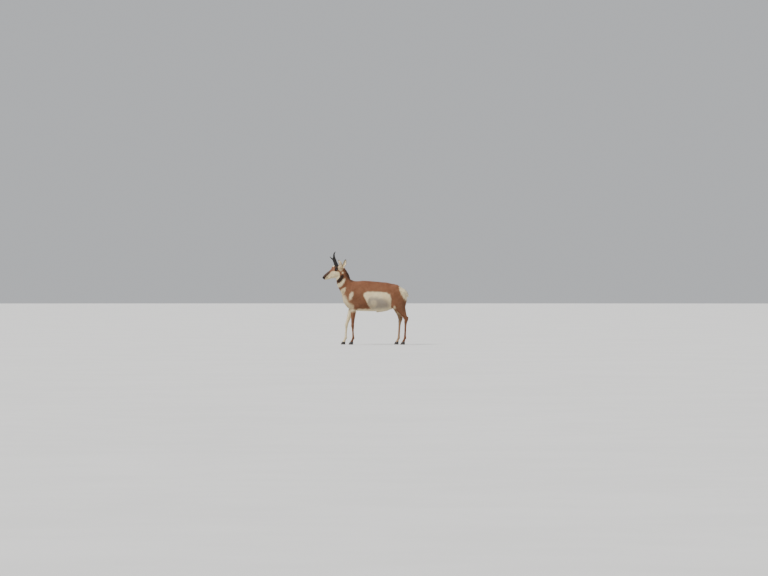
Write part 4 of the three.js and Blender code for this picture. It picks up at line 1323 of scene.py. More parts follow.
@dataclass(frozen=True)
class SkinFinish:
    """The short undercoat on the skin, and the bare black skin of nose, lips and lids."""

    name: str = "short_undercoat"
    streak: float = 1.3
    pebble: float = 620.0

    def material(self, effects: Effects) -> Material:
        """Builds the material.

        Args:
            effects: The shared effects.

        Returns:
            The material.
        """
        finish = Finish(self.name, 0.75, 0.22)
        graph = finish.graph
        tones = graph.read("tones").outputs
        bare = graph.read("bare").outputs["Fac"]
        combed = graph.read("combed").outputs["Vector"]
        height = graph.use(effects.streak, Combed=combed, Fineness=self.streak)
        # The alpha of the tones carries the painted shade of the lower flank.
        chance, painted_shade = graph.span(height, 0.3, 0.7), tones["Alpha"]
        hair = graph.use(effects.pelage, Tones=tones["Color"], Grey=painted_shade, Chance=chance, Along=0.35)
        spots = graph.use(effects.mottle, Fineness=60.0)
        black = graph.mix(spots, (0.006, 0.0045, 0.004), (0.016, 0.012, 0.010))
        finish.colour(graph.mix(bare, hair, black))
        finish.roughness(graph.span(bare, 0, 1, 0.78, 0.5))
        grain = graph.use(effects.grain, Fineness=self.pebble)
        furred = graph.times(height, graph.math("SUBTRACT", 1.0, bare))
        pebbled = graph.times(grain, graph.times(bare, 0.9))
        finish.bump(graph.math("ADD", furred, pebbled), 0.0016, 0.85)
        return finish.material


@dataclass(frozen=True)
class HornFinish:
    """Black horn sheath: streaked and rough below, worn smooth and a little glossy at the tips."""

    name: str = "horn_sheath"

    def material(self, effects: Effects) -> Material:
        """Builds the material.

        Args:
            effects: The shared effects.

        Returns:
            The material.
        """
        finish = Finish(self.name, 0.6, 0.35)
        graph = finish.graph
        grown = graph.read("grown").outputs["Vector"]
        rough = graph.span(graph.read("worn").outputs["Fac"], 0.15, 0.75, 1.0, 0.0)
        streak = graph.use(effects.streak, Combed=grown, Fineness=0.9)
        mottle = graph.use(effects.mottle, Fineness=42.0)
        shade = graph.mix(mottle, (0.006, 0.005, 0.0045), (0.017, 0.014, 0.012))
        bark = graph.times(graph.span(streak, 0.5, 0.66), graph.times(rough, 0.65))
        finish.colour(graph.mix(bark, shade, (0.050, 0.038, 0.030)))
        finish.roughness(graph.math("MULTIPLY_ADD", rough, 0.32, graph.span(mottle, 0, 1, 0.34, 0.44)))
        grain = graph.use(effects.grain, Fineness=300.0)
        ridges = graph.math("MULTIPLY_ADD", grain, 0.35, streak)
        finish.bump(graph.times(ridges, graph.math("MULTIPLY_ADD", rough, 0.8, 0.2)), 0.0022, 0.8)
        return finish.material


@dataclass(frozen=True)
class HoofFinish:
    """Dark hoof horn with fine growth lines, dusty and scuffed towards the sole."""

    name: str = "hoof_horn"

    def material(self, effects: Effects) -> Material:
        """Builds the material.

        Args:
            effects: The shared effects.

        Returns:
            The material.
        """
        finish = Finish(self.name, 0.5, 0.5)
        graph = finish.graph
        grown = graph.read("grown").outputs["Vector"]
        _, up, _ = graph.split("XYZ", grown)
        lines = graph.use(effects.streak, Combed=grown, Fineness=1.5)
        low = graph.span(up, 3, 20, 1.0, 0.0)
        mottle = graph.use(effects.mottle, Fineness=70.0)
        shade = graph.mix(mottle, (0.010, 0.008, 0.007), (0.028, 0.022, 0.018))
        scuff = graph.times(low, graph.span(lines, 0.42, 0.62, 0.1, 0.6))
        finish.colour(graph.mix(scuff, shade, (0.10, 0.078, 0.058)))
        finish.roughness(graph.math("MULTIPLY_ADD", low, 0.22, graph.span(mottle, 0, 1, 0.38, 0.52)))
        grain = graph.use(effects.grain, Fineness=420.0)
        finish.bump(graph.math("MULTIPLY_ADD", grain, 0.3, lines), 0.0010, 0.7)
        return finish.material


@dataclass(frozen=True)
class EyeFinish:
    """A wet, nearly black eye: a level slot of a pupil in a dark brown iris."""

    name: str = "wet_eye"
    pupil: tuple[float, float] = (8.5, 4.4)

    def material(self, effects: Effects) -> Material:
        """Builds the material.

        Args:
            effects: The shared effects.

        Returns:
            The material.
        """
        finish = Finish(self.name, 0.10, 0.15, coat=0.35)
        graph = finish.graph
        a, b, _ = graph.split("XYZ", graph.read("iris").outputs["Vector"])
        halves = zip((a, b), self.pupil, strict=True)
        shares = (graph.math("DIVIDE", graph.math("ABSOLUTE", value), half) for value, half in halves)
        slot = graph.math("ADD", *(graph.math("POWER", share, 2.0) for share in shares))
        away = graph.math("SQRT", graph.math("ADD", *(graph.math("POWER", v, 2.0) for v in (a, b))))
        spots = graph.use(effects.mottle, Fineness=380.0)
        iris = graph.mix(spots, (0.010, 0.005, 0.003), (0.026, 0.013, 0.006))
        rim = graph.mix(graph.span(away, 11.5, 14.5), iris, (0.010, 0.007, 0.006))
        finish.colour(graph.mix(graph.span(slot, 1.25, 0.8), rim, (0.0035, 0.003, 0.003)))
        finish.roughness(graph.span(spots, 0, 1, 0.10, 0.16))
        return finish.material


@dataclass(frozen=True)
class FloorFinish:
    """A plain pale floor with a faint unevenness."""

    name: str = "pale_floor"

    def material(self, effects: Effects) -> Material:
        """Builds the material.

        Args:
            effects: The shared effects.

        Returns:
            The material.
        """
        finish = Finish(self.name, 0.85, 0.2)
        graph = finish.graph
        cloud = graph.use(effects.mottle, Fineness=0.6)
        finish.colour(graph.mix(cloud, (0.66, 0.65, 0.63), (0.70, 0.69, 0.67)))
        finish.bump(graph.use(effects.grain, Fineness=30.0), 0.0008, 0.15)
        return finish.material


@dataclass
class Skin:
    """The whole skin as one net, finest on the face, in place of the solids of body, neck, head and legs."""

    flesh: Flesh
    markings: Markings
    body_cell: float = 10.0
    head_cell: float = 7.0
    across_cell: float = 6.0
    face_length: float = 262.0

    def net(self) -> Net:
        """Lays the net that the coat grows from.

        Returns:
            The net.
        """
        skin = self.flesh.skin
        lines = (
            np.concatenate([np.arange(-612, -290, self.head_cell), np.arange(-290, 641, self.body_cell)]),
            np.arange(-162, 163, self.across_cell) + 0.01,
            np.concatenate([np.arange(14, 880, self.body_cell), np.arange(884, 1120, self.head_cell)]),
        )
        return Net.over(skin, lines).settle(skin, 2, 4).finer().settle(skin, 1, 2)

    def bare(self, p: Array) -> Array:
        """Reads where the skin is bare and black: the nose, the lips and the rims of the lids.

        Args:
            p: The points.

        Returns:
            From 0 under hair to 1 where it is bare.
        """
        s, h = head_place(p)
        edge = from_muzzle(s, p[:, 1]) + 1.5 * np.sin(0.5 * p[:, 1] + 0.3 * h)
        nose = ramp(edge, 15, 9) * ramp(h, -26, -20)
        lips = ramp(np.abs(h - self.flesh.mouth_level(s)), 4.6, 2.2) * ramp(s, 80, 72)
        round_eye = ramp(from_eye(p), EYE_RADIUS + 10, EYE_RADIUS + 5)
        lids = ramp(self.flesh.eye_opening(s, h), 0.5, 0.22) * round_eye
        return np.maximum.reduce([nose, lips, lids, ramp(nostril().distance(mirrored(p)), 4.5, 2)])

    def build(self, ground: Net, finish: Material) -> Object:
        """Builds the skin.

        Args:
            ground: The net that the coat grows from.
            finish: The undercoat's finish.

        Returns:
            The skin's object.
        """
        s, h = head_place(ground.points[ground.quads].mean(1))
        fine = ground.finer((s < self.face_length) & (h > -112)).settle(self.flesh.skin, 1, 1.5)
        middle = fine.points[fine.quads].mean(1)
        s, h = head_place(middle)
        lips = (s < 84) & (np.abs(h - self.flesh.mouth_level(s)) < 9)
        nose = (s < 26) & (h > -22)
        fine = fine.finer((from_eye(middle) < EYE_RADIUS + 13) | lips | nose)
        p = fine.settle(self.flesh.skin, 2, 1.2).points
        part, _ = self.flesh.combed(p)
        marks = {
            "tones": self.markings.read(p),
            "bare": self.bare(p),
            "combed": self.flesh.unrolled(part, p)[:, 1:],
        }
        made = piece_from("skin", p, [fine.quads, *fine.others], "coat", finish, **marks)
        sides, ends = ("left", "right"), ("upper", "lower")
        legs = [f"{leg}_{side}_{end}" for leg in ("foreleg", "hindleg") for end in ends for side in sides]
        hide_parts("torso", "neck", "head", *legs)
        return made


@dataclass
class Coat:
    """The short coat: overlapping tufts that lie along the body, smallest on the face and the shins."""

    flesh: Flesh
    markings: Markings
    horns: Callable[[Array], Array]
    cover: float = 3.1
    cover_with_depth: float = 0.36
    long: tuple[float, float] = (2.0, 3.4)
    slim: tuple[float, float] = (1.0, 0.26)
    split_at: float = 140.0
    hoof_top: float = 41.0

    def sized(self, depth: Array) -> tuple[Array, Array]:
        """Sizes tufts by how deep the coat is: their length and their width."""
        return self.long[0] + self.long[1] * depth, self.slim[0] + self.slim[1] * depth

    def bald(self, p: Array) -> Array:
        """Finds where no tuft grows: in eyes, nose, mouth and nostrils, under the horns and in the hooves.

        Args:
            p: The points.

        Returns:
            Which points stay without.
        """
        s, h = head_place(p)
        half = mirrored(p)
        eye = (self.flesh.eye_opening(s, h) < 0.42) & (from_eye(p) < EYE_RADIUS + 12)
        nose = (from_muzzle(s, p[:, 1]) < 9) & (h > -24)
        mouth = (np.abs(h - self.flesh.mouth_level(s)) < 3.2) & (s < 80)
        hole = nostril((12.5, 11, 5.5)).distance(half) < 0
        return eye | nose | mouth | hole | (self.horns(half) < 1.5) | (p[:, 2] < self.hoof_top)

    def finer(self, p: Array) -> tuple[Array, Array]:
        """Finds how the tufts round the eyes and lips shrink, and how those round an eye fan out from it.

        Args:
            p: The points.

        Returns:
            The share of their size that they keep, and the way from the eye.
        """
        off = mirrored(p) - on_head(*EYE)
        small = ramp(np.linalg.norm(off, axis=1), EYE_RADIUS + 3, EYE_RADIUS + 26)
        away = unit(off * [1, 0, 1])
        s, h = head_place(p)
        lips = ramp(np.abs(h - self.flesh.mouth_level(s)), 2, 13) + ramp(s, 76, 96)
        return (0.42 + 0.58 * small) * np.minimum(0.5 + 0.5 * lips, 1), away

    def grow(self, ground: Net) -> tuple[Strands, Array]:
        """Roots the tufts all over the skin.

        Args:
            ground: The net that they grow from.

        Returns:
            The tufts, and the number of the part that each belongs to.
        """
        draw = np.random.default_rng(SEED)
        area = np.linalg.norm(facing(ground.points, ground.quads), axis=1) / 2
        depth = self.flesh.depth(ground.points[ground.quads].mean(1))
        length, width = self.sized(depth)
        thick = (self.cover + self.cover_with_depth * depth) / (0.5 * length * width)
        count = np.floor(area * thick + draw.random(len(area))).astype(int)
        face = ground.quads[np.arange(len(area)).repeat(count)]
        u, v = draw.random((2, len(face), 1))
        shares = ((1 - u) * (1 - v), u * (1 - v), u * v, (1 - u) * v)
        part, lie = self.flesh.combed(ground.points)
        root, out, lie = (
            sum(share * table[face[:, n]] for n, share in enumerate(shares))
            for table in (ground.points, ground.normals(), lie)
        )
        keep = ~self.bald(root)
        part, root, out, lie = part[face[keep, 0]], root[keep], unit(out[keep]), lie[keep]
        flow = np.sin(root @ [0.047, 0.061, 0.038]) * np.sin(root @ [-0.029, 0.052, 0.071] + 0.8)
        turn = (draw.normal(0, 0.16, len(root)) + 0.2 * flow)[:, None]
        lie = laid(lie, out)
        lie = lie * np.cos(turn) + np.cross(out, lie) * np.sin(turn)
        small, away = self.finer(root)
        lie = unit(lie + 1.6 * (1 - small[:, None]) * away * (head_place(root)[0] > 150)[:, None])
        depth = self.flesh.depth(root) * small
        length, width = self.sized(depth)
        rump = 1 + 0.3 * ramp(root[:, 0], 470, 520) * ramp(root[:, 2], 590, 650)
        tufts = Strands(
            root=root,
            out=out,
            lie=lie,
            length=length * rump * draw.uniform(0.75, 1.2, len(root)),
            height=depth * draw.uniform(0.62, 0.96, len(root)),
            width=width * draw.uniform(0.8, 1.25, len(root)),
            tones=self.markings.read(root + draw.normal(0, 2.5, root.shape)),
            chance=draw.random(len(root)),
            chart=self.flesh.chart(part, root),
        )
        return tufts, part

    def build(self, ground: Net, finish: Material) -> list[Object]:
        """Builds the coat, a piece for each part of the body and four for the trunk.

        Args:
            ground: The net that the tufts grow from.
            finish: The hair's finish.

        Returns:
            The pieces.
        """
        tufts, part = self.grow(ground)
        quarter = 2 * (tufts.root[:, 0] > self.split_at) + (tufts.root[:, 1] > 0)
        quarters = [f"{end}_{side.name.lower()}" for end in ("front", "back") for side in Side]
        areas = {}
        for n, name in enumerate(self.flesh.parts):
            if name == "trunk":
                areas |= {f"trunk_{title}": (part == n) & (quarter == q) for q, title in enumerate(quarters)}
            else:
                areas[name] = part == n
        return [tufts.only(rows).piece(f"coat_{title}", "coat", finish) for title, rows in areas.items()]


@dataclass
class Mane:
    """The short stiff mane down the nape."""

    flesh: Flesh
    top: tuple[float, float, float] = (-322.0, 0.0, 1000.0)
    end: tuple[float, float, float] = (-204.0, 0.0, 818.0)
    count: int = 820
    spread: float = 0.24

    def build(self, finish: Material) -> Object:
        """Builds the mane.

        Args:
            finish: The hair's finish.

        Returns:
            The object.
        """
        draw = np.random.default_rng(SEED + 1)
        share = draw.random(self.count) ** 1.1
        turn = np.clip(draw.normal(0, self.spread, self.count), -0.6, 0.6)
        flat = np.zeros(self.count)
        out = unit(np.stack([flat + 0.86, turn, flat + 0.51], 1))
        start = np.array(self.top) + share[:, None] * (np.array(self.end) - np.array(self.top))
        low = self.flesh.to_skin(start, out, 150.0, 18)
        lie = np.stack([flat + 0.51, 0.35 * turn, flat - 0.86], 1) + draw.normal(0, 0.07, (self.count, 3))
        dark = np.clip(0.86 - 0.9 * np.abs(turn) + draw.normal(0, 0.1, self.count), 0, 1)
        locks = Strands(
            root=start + out * low[:, None],
            out=out,
            lie=unit(lie),
            length=draw.uniform(36, 58, self.count),
            height=draw.uniform(5, 10, self.count) * (1 - 0.75 * share) * (1 - 0.5 * np.abs(turn)),
            width=draw.uniform(3.2, 6.0, self.count),
            tones=toned(self.count, {Tone.DARK: dark, Tone.RUSSET: 1 - dark}),
            chance=draw.random(self.count),
            chart=np.stack([0.02 + 0.96 * share, 0.5 + 0.8 * turn], 1),
            bends=2,
        )
        return locks.piece("mane", "hair", finish)


@dataclass
class Tail:
    """The short tail: a core clad in overlapping locks, brown along the top and white below."""

    rows: tuple = (
        ((520, 0, 768), 11, 11, 15),
        ((541, 0, 752), 16, 16, 21),
        ((561, 0, 730), 15, 15, 23),
        ((578, 0, 702), 12, 12, 20),
        ((591, 0, 674), 7, 7, 12),
    )
    bare: float = 5.0
    cell: float = 4.0
    count: int = 620

    def build(self, hair: Material, skin: Material) -> list[Object]:
        """Builds the core and its locks.

        Args:
            hair: The hair's finish.
            skin: The undercoat's finish.

        Returns:
            The two objects.
        """
        rows = [(at, *(max(size - self.bare, 2.0) for size in sizes)) for at, *sizes in self.rows]
        sweep = Sweep(rows, start=8, end=5)
        low, high = sweep.at.min(0) - 30, sweep.at.max(0) + 30
        lines = [np.arange(a, b, self.cell) + 0.01 for a, b in zip(low, high, strict=True)]
        net = Net.over(sweep.distance, lines).settle(sweep.distance, 2, 2)
        p = net.points
        marks = {"tones": self.tones(sweep, p), "bare": np.zeros(len(p)), "combed": p}
        core = piece_from("tail_core", p, [net.quads], "coat", skin, **marks)
        draw = np.random.default_rng(SEED + 2)
        place = draw.random(self.count) ** 0.9 * (len(sweep.at) - 1.6)
        turn = draw.uniform(0, 2 * math.pi, self.count)
        size = sweep.read(sweep.size, place)
        up, across = np.cos(turn), np.sin(turn)
        radius = np.where(up > 0, size[:, 0], size[:, 1])
        frame_up, frame_across = sweep.read(sweep.up, place), sweep.read(sweep.across, place)
        out = unit(frame_up * (up * size[:, 2])[:, None] + frame_across * (across * radius)[:, None])
        root = sweep.read(sweep.at, place) + frame_up * (up * radius)[:, None]
        root = root + frame_across * (across * size[:, 2])[:, None]
        share = place / (len(sweep.at) - 1)
        tip = 1 - 0.45 * share
        locks = Strands(
            root=root,
            out=out,
            lie=unit(sweep.read(sweep.along, place) + draw.normal(0, 0.08, (self.count, 3))),
            length=draw.uniform(28, 44, self.count) * tip,
            height=draw.uniform(3, 6.5, self.count) * tip,
            width=draw.uniform(3, 5, self.count),
            tones=self.tones(sweep, root + out),
            chance=draw.random(self.count),
            chart=np.stack([0.02 + 0.96 * share, 0.02 + 0.96 * turn / (2 * math.pi)], 1),
            bends=2,
        )
        made = locks.piece("tail_hair", "hair", hair)
        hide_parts("tail")
        return [core, made]

    def tones(self, sweep: Sweep, p: Array) -> Array:
        """Reads the tail's tones.

        Args:
            sweep: The tail's own line.
            p: Points on it.

        Returns:
            Four shares for each.
        """
        off, up, _ = sweep.offsets(p, sweep.place(p))
        top = ramp(up, 1, 8) * ramp(np.abs(off[:, 1]), 14, 5)
        return toned(len(p), {Tone.PALE: 1 - top, Tone.DARK: 0.35 * top})


@dataclass
class Ear:
    """A leaf rolled into a cup with a pointed tip, furred outside, with pale hair inside along its edges."""

    name: str
    root: tuple[float, float, float]
    tip: tuple[float, float, float]
    open: tuple[float, float, float]
    half_width: float = 32.2
    widest_at: float = 0.42
    thickness: float = 2.6
    rows: int = 30
    columns: int = 20
    outer_hair: tuple = (3000, (6, 10), (0.8, 1.5), (1.4, 2.2))
    inner_hair: tuple = (1500, (12, 21), (2.0, 5.0), (0.9, 1.6))

    def surface(self, u: Array, c: Array, lift: Array | float) -> Array:
        """Places points of the ear.

        Args:
            u: How far up the ear, from 0 to 1.
            c: How far across it, from -1 to 1.
            lift: The share of half its thickness: 1 on the outside and -1 on the inside.

        Returns:
            The points.
        """
        root, tip = np.array(self.root), np.array(self.tip)
        along = unit(tip - root)
        mouth = unit(np.array(self.open) - (np.array(self.open) @ along) * along)
        across = np.cross(along, mouth)
        low = 0.56 + 0.44 * np.sin(math.pi / 2 * np.minimum(u / self.widest_at, 1))
        above = (np.maximum(u, self.widest_at) - self.widest_at) / 0.6
        high = np.sqrt(np.maximum(1 - above**2, 0)) ** 1.15
        wide = np.maximum(self.half_width * np.where(u < self.widest_at, low, high), 2.5)
        roll = 2.5 - 1.55 * np.minimum(u * 1.6, 1)
        radius = wide / np.minimum(roll, math.pi / 1.25)
        lean = -10 * np.sin(math.pi * u) + 8 * u * u
        thick = self.thickness * (1 - 0.45 * np.abs(c)) * (1 - 0.35 * u)
        curve = radius + lift * thick / 2
        depth = radius - curve * np.cos(c * roll)
        length = np.linalg.norm(tip - root)
        return (
            root
            + along * (-14 + u * (length + 13))[:, None]
            + across * (curve * np.sin(c * roll))[:, None]
            + mouth * (depth - radius * 0.5 + lean)[:, None]
        )

    def outwards(self, u: Array, c: Array, lift: float) -> Array:
        """Finds which way the ear's surface faces.

        Args:
            u: How far up the ear.
            c: How far across it.
            lift: 1 for the outside and -1 for the inside.

        Returns:
            The directions.
        """
        low = np.maximum(u - 0.01, 0)
        rise = self.surface(u + 0.01, c, lift) - self.surface(low, c, lift)
        side = self.surface(u, c + 0.02, lift) - self.surface(u, c - 0.02, lift)
        out = unit(np.cross(rise, side))
        away = self.surface(u, c, lift) - self.surface(u, c, 0.0)
        return out * np.sign((out * away).sum(1, keepdims=True))

    def tones(self, u: Array, c: Array, inside: bool) -> Array:
        """Reads the ear's tones: fawn outside and pale inside, with dark edges and tip.

        Args:
            u: How far up the ear.
            c: How far across it.
            inside: Whether it is the inside.

        Returns:
            Four shares for each.
        """
        if inside:
            dark = 0.85 * np.maximum(ramp(np.abs(c), 0.86, 0.98), ramp(u, 0.84, 0.93))
            pale = 0.9
        else:
            dark = 0.9 * np.maximum(ramp(np.abs(c), 0.82, 0.97), ramp(u, 0.8, 0.95))
            pale = 0.62 + 0.2 * ramp(u, 0.4, 0.1)
        return toned(len(u), {Tone.DARK: dark, Tone.PALE: (1 - dark) * pale})

    def hair(self, draw: np.random.Generator, inside: bool) -> Strands:
        """Roots hair on one side of the ear.

        Args:
            draw: Where chance comes from.
            inside: Whether it is the inside.

        Returns:
            The tufts.
        """
        lift = -1.0 if inside else 1.0
        count, long, high, wide = self.inner_hair if inside else self.outer_hair
        u = draw.uniform(0.05, 0.98, count)
        c = draw.uniform(-0.99, 0.99, count)
        if inside:
            c = np.sign(c) * np.abs(c) ** 0.55
            u = 0.08 + 0.84 * u
        root, out = self.surface(u, c, lift), self.outwards(u, c, lift)
        up = self.surface(np.minimum(u + 0.02, 1), c, lift) - root
        across = self.surface(u, np.clip(c - 0.03 * np.sign(c), -1, 1), lift) - root
        lie = unit(up) + (0.55 * unit(across) if inside else 0.0) + draw.normal(0, 0.12, (count, 3))
        return Strands(
            root=root,
            out=out,
            lie=unit(lie),
            length=draw.uniform(*long, count) * (1 - 0.5 * ramp(u, 0.75, 1)),
            height=draw.uniform(*high, count),
            width=draw.uniform(*wide, count),
            tones=self.tones(u, c, inside),
            chance=draw.random(count),
            chart=np.stack([(0.01 if inside else 0.51) + 0.48 * u, 0.5 + 0.48 * c], 1),
        )

    def build(self, hair: Material, skin: Material) -> list[Object]:
        """Builds the ear and its hair.

        Args:
            hair: The hair's finish.
            skin: The undercoat's finish.

        Returns:
            The objects.
        """
        rows, columns = self.rows, self.columns
        u, c = np.meshgrid(np.linspace(0, 1, rows + 1), np.linspace(-1, 1, columns + 1), indexing="ij")
        u, c = u.ravel(), c.ravel()
        points = np.concatenate([self.surface(u, c, 1.0), self.surface(u, c, -1.0)])
        wide, total = columns + 1, (rows + 1) * (columns + 1)
        cell = (np.arange(rows)[:, None] * wide + np.arange(columns)).ravel()
        outer = np.stack([cell, cell + 1, cell + wide + 1, cell + wide], 1)
        left = np.arange(rows) * wide
        right = left + columns
        foot, top = np.arange(columns), rows * wide + np.arange(columns)
        faces = np.concatenate([
            outer,
            total + outer[:, ::-1],
            np.stack([left, left + wide, total + left + wide, total + left], 1),
            np.stack([right, total + right, total + right + wide, right + wide], 1),
            np.stack([foot, total + foot, total + foot + 1, foot + 1], 1),
            np.stack([top, top + 1, total + top + 1, total + top], 1),
        ])
        marks = {
            "tones": np.concatenate([self.tones(u, c, False), self.tones(u, c, True)]),
            "bare": np.zeros(len(points)),
            "combed": np.stack([np.tile(u, 2) * 130, np.tile(c, 2) * 60, np.repeat([0.0, 200.0], total)], 1),
        }
        leaf = piece_from(self.name, points, turned_out(points, [faces]), "coat", skin, **marks)
        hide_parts(self.name)
        draw = np.random.default_rng(SEED + 3 + len(self.name))
        outside = self.hair(draw, False).piece(f"{self.name}_coat", "coat", hair)
        inside = self.hair(draw, True).piece(f"{self.name}_fringe", "hair", hair)
        return [leaf, outside, inside]


@dataclass
class Horns:
    """The pair of black horns: a flat shaft that hooks back at its tip, and a prong that points ahead."""

    shaft_rows: tuple = (
        ((-392, 33, 1066), 27, 27, 18),
        ((-402, 38, 1100), 29, 27, 19),
        ((-417, 45, 1140), 26, 25, 16.5),
        ((-429, 52, 1176), 27, 24, 14.5),
        ((-436, 59, 1212), 16, 17, 12.5),
        ((-437, 64, 1246), 11.5, 12, 10.5),
        ((-430, 65, 1274), 8, 8.5, 8),
        ((-414, 60, 1291), 3, 3, 3),
    )
    prong_rows: tuple = (
        ((-424, 50, 1164), 17, 20, 10),
        ((-446, 55, 1180), 13, 14, 8.5),
        ((-470, 61, 1198), 9, 10, 7),
        ((-486, 66, 1214), 5.5, 6, 5),
        ((-494, 69, 1226), 1.6, 1.6, 1.6),
    )
    inset: float = 0.6
    cell: float = 3.4

    def __post_init__(self) -> None:
        """Builds the two sweeps of the right horn."""
        self.shaft = Sweep(self.shaft_rows, start=8, end=3)
        self.prong = Sweep(self.prong_rows, start=8, end=2)

    def distance(self, p: Array) -> Array:
        """Measures how far points lie outside the right horn.

        Args:
            p: The points.

        Returns:
            The distance.
        """
        d = melt(self.shaft.distance(p), self.prong.distance(p), 7) + self.inset
        low = ramp(p[:, 2], 1170, 1085)
        knobs = np.sin(p[:, 2] * 0.42 + 1.7 * np.sin(p[:, 0] * 0.21)) * np.sin(p[:, 0] * 0.45 + p[:, 1] * 0.5)
        ridges = np.sin(np.arctan2(p[:, 1] - 45, p[:, 0] + 415) * 9 + p[:, 2] * 0.03)
        return d + 0.9 * low * np.maximum(knobs, -0.3) - 0.35 * ridges * (1 - low) * ramp(p[:, 2], 1265, 1200)

    def build(self, finish: Material) -> list[Object]:
        """Builds both horns.

        Args:
            finish: The horn's finish.

        Returns:
            The two objects.
        """
        lines = [np.arange(a, b, self.cell) + 0.01 for a, b in ((-502, -352), (6, 92), (1024, 1302))]
        net = Net.over(self.distance, lines).settle(self.distance, 2, 1.5).finer().settle(self.distance, 2, 1)
        p = net.points
        on_prong = (self.prong.distance(p) < self.shaft.distance(p))[:, None]
        grown = np.where(on_prong, self.prong.unrolled(p), self.shaft.unrolled(p))[:, 1:]
        worn = np.maximum(ramp(p[:, 2], 1090, 1270), ramp(-p[:, 0], 452, 486))
        pieces = []
        for side in Side:
            name = f"horn_{side.name.lower()}"
            faces = net.quads if side is Side.RIGHT else net.quads[:, ::-1]
            made = piece_from(name, p * [1, side.value, 1], [faces], "horn", finish, grown=grown, worn=worn)
            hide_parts(name)
            pieces.append(made)
        return pieces


@dataclass
class Hoof:
    """One cloven hoof: two claws with growth lines and a flat sole."""

    leg: str
    heel: float
    middle: float
    rows: tuple = (
        (39.6, -25, 21, 20.5), (24.8, -36, 22.5, 22.5), (2.5, -44, 20, 24.5), (0.0, -42.5, 19, 23.6),
    )
    sides: int = 36
    rings: int = 12

    def claw(self, hand: int) -> tuple[Array, list[Array], Array]:
        """Lofts one claw.

        Args:
            hand: 1 for the claw on the right and -1 for the left one.

        Returns:
            Its points, its faces and its place for growth lines.
        """
        table = np.array(self.rows)
        turn = 2 * math.pi * np.arange(self.sides) / self.sides
        ahead, out = np.cos(turn), np.sin(turn)
        flat = np.zeros(self.sides)
        points, grown = [], []
        for level in [*np.linspace(table[0, 0], 3, self.rings), 1.4, 0.4, 0.0]:
            front, back, wide = (np.interp(-level, -table[:, 0], table[:, n]) for n in (1, 2, 3))
            front, back = front + self.heel, back + self.heel
            shrink = 1.0 - 0.03 * (level < 1) - 0.012 + 0.006 * math.cos(level * 1.3)
            half = (back - front) / 2 * shrink
            across = np.where(out > 0, out * wide * (1 - 0.28 * np.maximum(ahead, 0)) * shrink, out * 1.6)
            across = np.where(out > 0, np.abs(across) ** 0.94 * wide**0.06, across)
            x = (front + back) / 2 - ahead * half
            points.append(np.stack([x, self.middle + hand * (2.2 + across), flat + level], 1))
            grown.append(np.stack([turn * 25, flat + level, flat + hand * 9.0], 1))
        ring = np.arange(self.sides)[None]
        last = (len(points) - 1) * self.sides
        cloud = np.concatenate(points)
        faces = [ring_walls(self.sides, len(points)), ring, ring[:, ::-1] + last]
        return cloud, turned_out(cloud, faces), np.concatenate(grown)

    def build(self, finish: Material) -> Object:
        """Builds the hoof.

        Args:
            finish: The hoof's finish.

        Returns:
            The object.
        """
        clouds, faces, grown = zip(*(self.claw(hand) for hand in (-1, 1)), strict=True)
        each = len(clouds[0])
        walls = np.concatenate([tables[0] + n * each for n, tables in enumerate(faces)])
        caps = np.concatenate([cap + n * each for n, tables in enumerate(faces) for cap in tables[1:]])
        points, grown = np.concatenate(clouds), np.concatenate(grown)
        made = piece_from(f"hoof_{self.leg}", points, [walls, caps], "hoof", finish, grown=grown)
        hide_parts(f"{self.leg}_claw_outer", f"{self.leg}_claw_inner")
        return made


